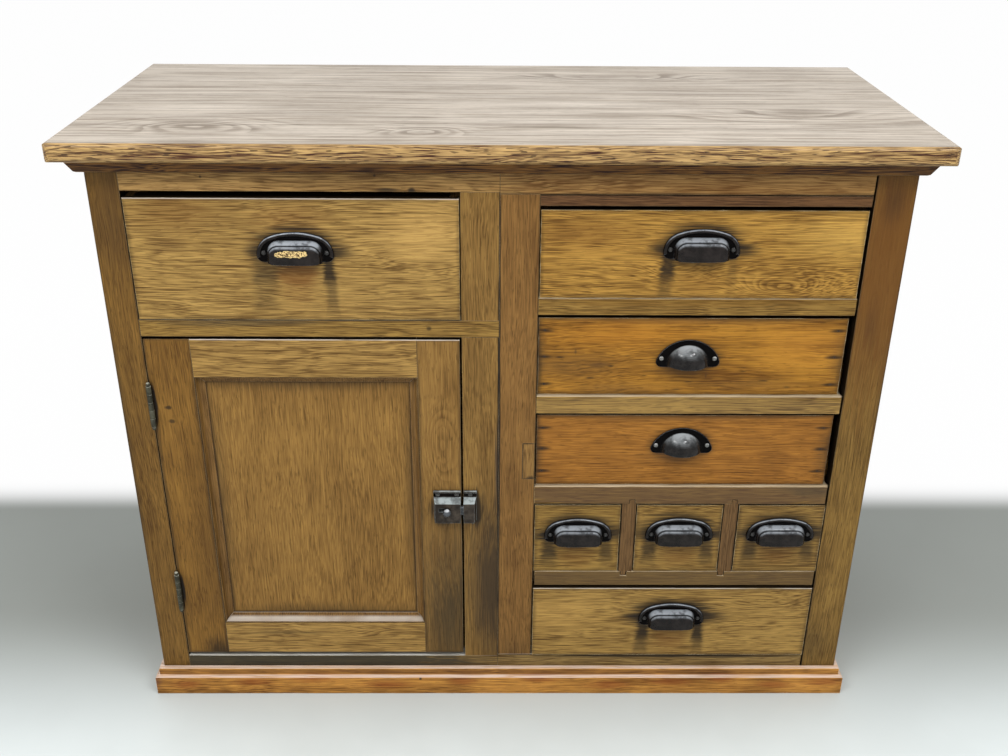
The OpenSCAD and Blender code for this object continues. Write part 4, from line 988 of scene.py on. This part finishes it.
def wide_pull_mesh():
    w, h = pull_sizes("top_drawer")[:2]
    shoulder, lobe = 28.5, 9
    plate = slab(arch(w, h, shoulder, lobe, 0), -PLATE_T, 0)
    rim = bar_along(arch(w, h, shoulder, lobe, 3.1, foot=False), 6.0, 2.8, 1.5)
    half_w, back_h = 36.5, h * 0.72
    rings = []
    # Each row: depth, how far in from the cup's sides, how far down from its top, corner radius, foot radius
    for depth, inset, drop, corner, foot in (
        (0.0, 0.0, 0.0, 16, 0), (3.0, 0.0, 0.4, 16, 0), (6.0, 0.2, 1.0, 16, 0),
        (8.5, 0.5, 1.8, 15.5, 0.5), (10.6, 1.1, 3.0, 15, 1), (11.8, 1.9, 4.2, 14.2, 1.5),
        (12.1, 3.0, 5.6, 13.4, 2), (12.4, 2.9, 5.5, 13.4, 2.5), (13.4, 2.8, 5.5, 13.2, 3),
        (14.8, 3.3, 6.2, 12.8, 4), (15.9, 4.3, 7.6, 12, 5), (16.6, 5.9, 9.4, 11, 5.5),
        (17.3, 8.5, 12.2, 9, 6), (17.9, 12.0, 15.4, 7, 5), (18.3, 18.0, 18.8, 5, 3),
        (18.5, 26.0, 23.5, 3, 1), (CUP_DEPTH, 33.0, 27.5, 1, 0.3), (CUP_DEPTH, 36.3, 29.5, 0.1, 0.05),
    ):
        ring = dome_ring(half_w - inset, back_h - drop, corner, foot)
        rings.append([(x, -cup_out(depth), z) for x, z in ring])
    cup = solid_from_sheet(rings)
    return cast([plate, rim, cup], "wide_pull")


def dome_pull_mesh():
    w, h, out = pull_sizes("second_drawer")
    shoulder = 7.5
    plate = slab(arch(w, h, shoulder, shoulder, 0), -PLATE_T, 0)
    lip = h * 0.08
    half_w = 31
    ball = (half_w * half_w + out * out) / (2 * out)
    rings = []
    steps = 14
    for i in range(steps + 1):
        tilt = math.acos((ball - out) / ball) * (1 - i / steps)
        r = max(ball * math.sin(tilt), 0.2)
        y = ball * math.cos(tilt) - (ball - out)
        rings.append([(x, -max(y, 0), lip + z) for x, z in arc(0, 0, r, 0, 180, 48)])
    cup = solid_from_sheet(rings)
    return cast([plate, cup], "dome_pull")


def screw_mesh():
    """A round screw head with a slot, in metres, standing on the plane y = 0."""
    r, h, slot = 3.24, 1.8, 0.8
    bm = bmesh.new()
    rows = []
    steps, sides = 6, 24
    turns = [2 * math.pi * k / sides for k in range(sides + 1)]
    for i in range(steps + 1):
        a = math.pi / 2 * i / steps
        out = r * math.cos(a)
        rows.append([(out * math.cos(b), -h * math.sin(a) ** 0.9, out * math.sin(b)) for b in turns])
    rows.insert(0, [(x, 0.4, z) for x, y, z in rows[0]])
    add_strip(bm, rows)
    bmesh.ops.remove_doubles(bm, verts=bm.verts, dist=1e-5)
    edges = [edge for edge in bm.edges if edge.is_boundary]
    bmesh.ops.contextual_create(bm, geom=edges)
    head = finished(bm, "head")
    long, half = r + 1, slot / 2
    cutter = slab([(-long, -half), (long, -half), (long, half), (-long, half)], -h - 1, -h * 0.5)
    knife = bpy.data.objects.new("knife", cutter)
    bpy.context.scene.collection.objects.link(knife)
    mesh = modified(head, [("BOOLEAN", dict(operation="DIFFERENCE", object=knife, solver="EXACT"))])
    bpy.data.objects.remove(knife)
    mesh.transform(Matrix.Scale(MM, 4))
    mesh.name = "screw_head"
    mesh.materials.clear()
    return mesh


def add_pulls():
    """The castings in place of the CAD pulls, and a screw at each end of each."""
    shades = dict(
        dark=(16, 12, 10), sheen=(32, 27, 25), bright=(146, 151, 157), rub=0.6, channel=PLATE_T,
        groove=cup_out(12.2), gloss=0.18)
    body_iron = iron("pull_iron", up=0.8, **shades)
    worn = iron("pull_iron_worn", up=1.0, patch=((-3.5, 17.5), (25, 6.2), 16.5), **shades)
    domed = iron(
        "pull_iron_domed", (12, 10, 9), (30, 27, 25), (158, 162, 164), rub=0.6, up=0.85, slope=(0.35, 0.95),
        channel=PLATE_T, gloss=0.2, roughness=0.14, bump=0.00003)
    dark_screw = iron("pull_screw_dark", (26, 24, 23), (40, 38, 36), (96, 96, 94), roughness=0.3)
    pale_screw = iron("pull_screw_pale", (80, 79, 76), (112, 112, 108), (206, 206, 204), up=0.9)
    heads = screw_mesh()
    meshes = {True: wide_pull_mesh(), False: dome_pull_mesh()}
    for drawer in WIDE_DRAWERS + DOME_DRAWERS:
        wide = drawer in WIDE_DRAWERS
        x, z = pull_centre(drawer)
        front = mm_box(drawer + "_front")[0][1]
        mesh = meshes[wide].copy()
        mesh.name = drawer + "_pull_casting"
        place = (x * MM, front * MM, z * MM)
        look = worn if drawer == "left_drawer" else body_iron if wide else domed
        piece = add_piece(drawer + "_pull_casting", mesh, look, drawer, place)
        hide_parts(drawer + "_pull")
        screw_x = WIDE_SCREW_X if wide else DOME_SCREW_X
        for side, word in SIDES:
            at = ((x + side * screw_x) * MM, (front - PLATE_T) * MM, (z + SCREW_Z) * MM)
            head = heads.copy()
            head.transform(Matrix.Rotation(seed_of(drawer + word) * math.pi, 4, "Y"))
            screw = dark_screw if wide else pale_screw
            add_piece("%s_pull_screw_%s" % (drawer, word), head, screw, drawer, at)


def add_nails():
    """The heads of the nails in the ends of the orange drawer fronts."""
    rust = iron("nail_iron", (30, 22, 16), (52, 38, 28), (96, 78, 60), roughness=0.7, gloss=0.3)
    sides = 14
    turns = [2 * math.pi * k / sides for k in range(sides + 1)]
    for drawer in DOME_DRAWERS:
        front = mm_box(drawer + "_front")[0][1]
        bm = bmesh.new()
        for x, z in nail_places(drawer):
            add_strip(bm, [
                [(x + r * math.cos(a), front + y, z + r * 0.85 * math.sin(a)) for a in turns]
                for r, y in ((1.7, 0.5), (1.7, -0.05), (1.3, -0.16), (0.01, -0.2))
            ])
        bmesh.ops.remove_doubles(bm, verts=bm.verts, dist=0.02)
        bmesh.ops.holes_fill(bm, edges=[edge for edge in bm.edges if edge.is_boundary], sides=0)
        mesh = finished(bm, drawer + "_nails")
        mesh.transform(Matrix.Scale(MM, 4))
        add_piece(drawer + "_nails", mesh, rust, drawer)


# ---- floor, light and camera ----


def make_floor():
    """Grey under the cabinet, a painted shade, and pale in front of it, and far off it glows and fades to
    white.
    """
    bpy.ops.mesh.primitive_plane_add(size=60, location=(0, 0, -0.0004))
    floor = bpy.context.object
    floor.name = "floor"
    t = Tree(bpy.data.materials.new("floor_paint"))
    x, y, z = t.split(t.place())
    far = t.most(t.step(y, 0.30, 0.42), t.step(y, -1.2, -2.4), t.step(t.math("ABSOLUTE", x), 1.3, 2.2))
    cloud = t.noise(t.place(), 2.2, 4.0, 0.6)
    # Painted shade: the floor is grey by the cabinet, fading to pale in front of it
    near = t.step(y, 0.0, -0.42)
    grey = t.mix(near, srgb(136, 139, 134), srgb(212, 218, 217))
    grey = t.mix(t.step(cloud, 0.35, 0.65, 0.0, 0.14), grey, srgb(150, 154, 150))
    paint = t.shader(t.mix(far, grey, (0.82, 0.82, 0.82, 1)), 0.75)
    glow = t.node("ShaderNodeEmission")
    t.fed(glow, (1, 1, 1, 1), 1.0)
    t.blend(t.times(far, t.times(t.looked_at(), 0.97)), paint, glow)
    floor.data.materials.append(t.owner)


def make_world():
    """White to the eye. Its light is a soft grey, brighter above and behind than in front of the cabinet."""
    t = Tree(bpy.data.worlds.new("studio"), "ShaderNodeOutputWorld")
    bpy.context.scene.world = t.owner
    x, y, z = t.split(t.node("ShaderNodeTexCoord").outputs["Generated"])
    soft, plain = t.node("ShaderNodeBackground"), t.node("ShaderNodeBackground")
    strength = t.times(t.step(z, -0.1, 0.75, 0.25, 1.0), t.step(y, -0.9, 0.5, 0.45, 1.0))
    t.fed(soft, (0.95, 0.98, 1.0, 1), strength)
    t.fed(plain, (1, 1, 1, 1), 1.0)
    t.blend(t.looked_at(), soft, plain)


def make_light(name, at, look_at, size, power, shiny):
    """A soft lamp. One that isn't shiny gives no highlights."""
    light = bpy.data.lights.new(name, "AREA")
    light.shape = "RECTANGLE"
    light.size, light.size_y = size
    light.energy = power
    thing = bpy.data.objects.new(name, light)
    bpy.context.scene.collection.objects.link(thing)
    thing.location = at
    thing.rotation_euler = (Vector(look_at) - Vector(at)).to_track_quat("-Z", "Y").to_euler()
    thing.visible_glossy = shiny


def make_lights():
    make_light("ceiling", (0.2, -1.6, 3.2), (0, 0, 0.5), (3.6, 1.6), 45, False)
    make_light("front", (-0.8, -4.2, 1.7), (0, 0, 0.45), (2.6, 1.8), 39, False)
    for side, word in SIDES:
        make_light(word + "_strip", (1.5 * side, -1.9, 3.0), (0, -0.2, 0.6), (1.5, 0.14), 36, True)


def make_camera():
    """The photograph's viewpoint, found from the cabinet's own lines."""
    eye = Vector((-12.2, -1623.5, 1260.2)) * MM
    pitch, yaw, roll = (math.radians(a) for a in (26.482, -0.616, 0.417))
    turn = Matrix.Rotation(yaw, 3, "Z")
    ahead = turn @ Vector((0, math.cos(pitch), -math.sin(pitch)))
    up = turn @ Vector((0, math.sin(pitch), math.cos(pitch)))
    right = turn @ Vector((1, 0, 0))
    right, up = right * math.cos(roll) + up * math.sin(roll), up * math.cos(roll) - right * math.sin(roll)
    data = bpy.data.cameras.new("camera")
    data.sensor_width = 36
    data.lens = 40.154
    data.clip_start = 0.05
    camera = bpy.data.objects.new("camera", data)
    bpy.context.scene.collection.objects.link(camera)
    camera.matrix_world = Matrix((
        (right.x, up.x, -ahead.x, eye.x),
        (right.y, up.y, -ahead.y, eye.y),
        (right.z, up.z, -ahead.z, eye.z),
        (0, 0, 0, 1),
    ))
    bpy.context.scene.camera = camera


dress_frame()
dress_door()
dress_drawers()
dress_metal()
add_pulls()
add_nails()
make_floor()
make_world()
make_lights()
make_camera()
bpy.context.scene.view_settings.view_transform = "Standard"
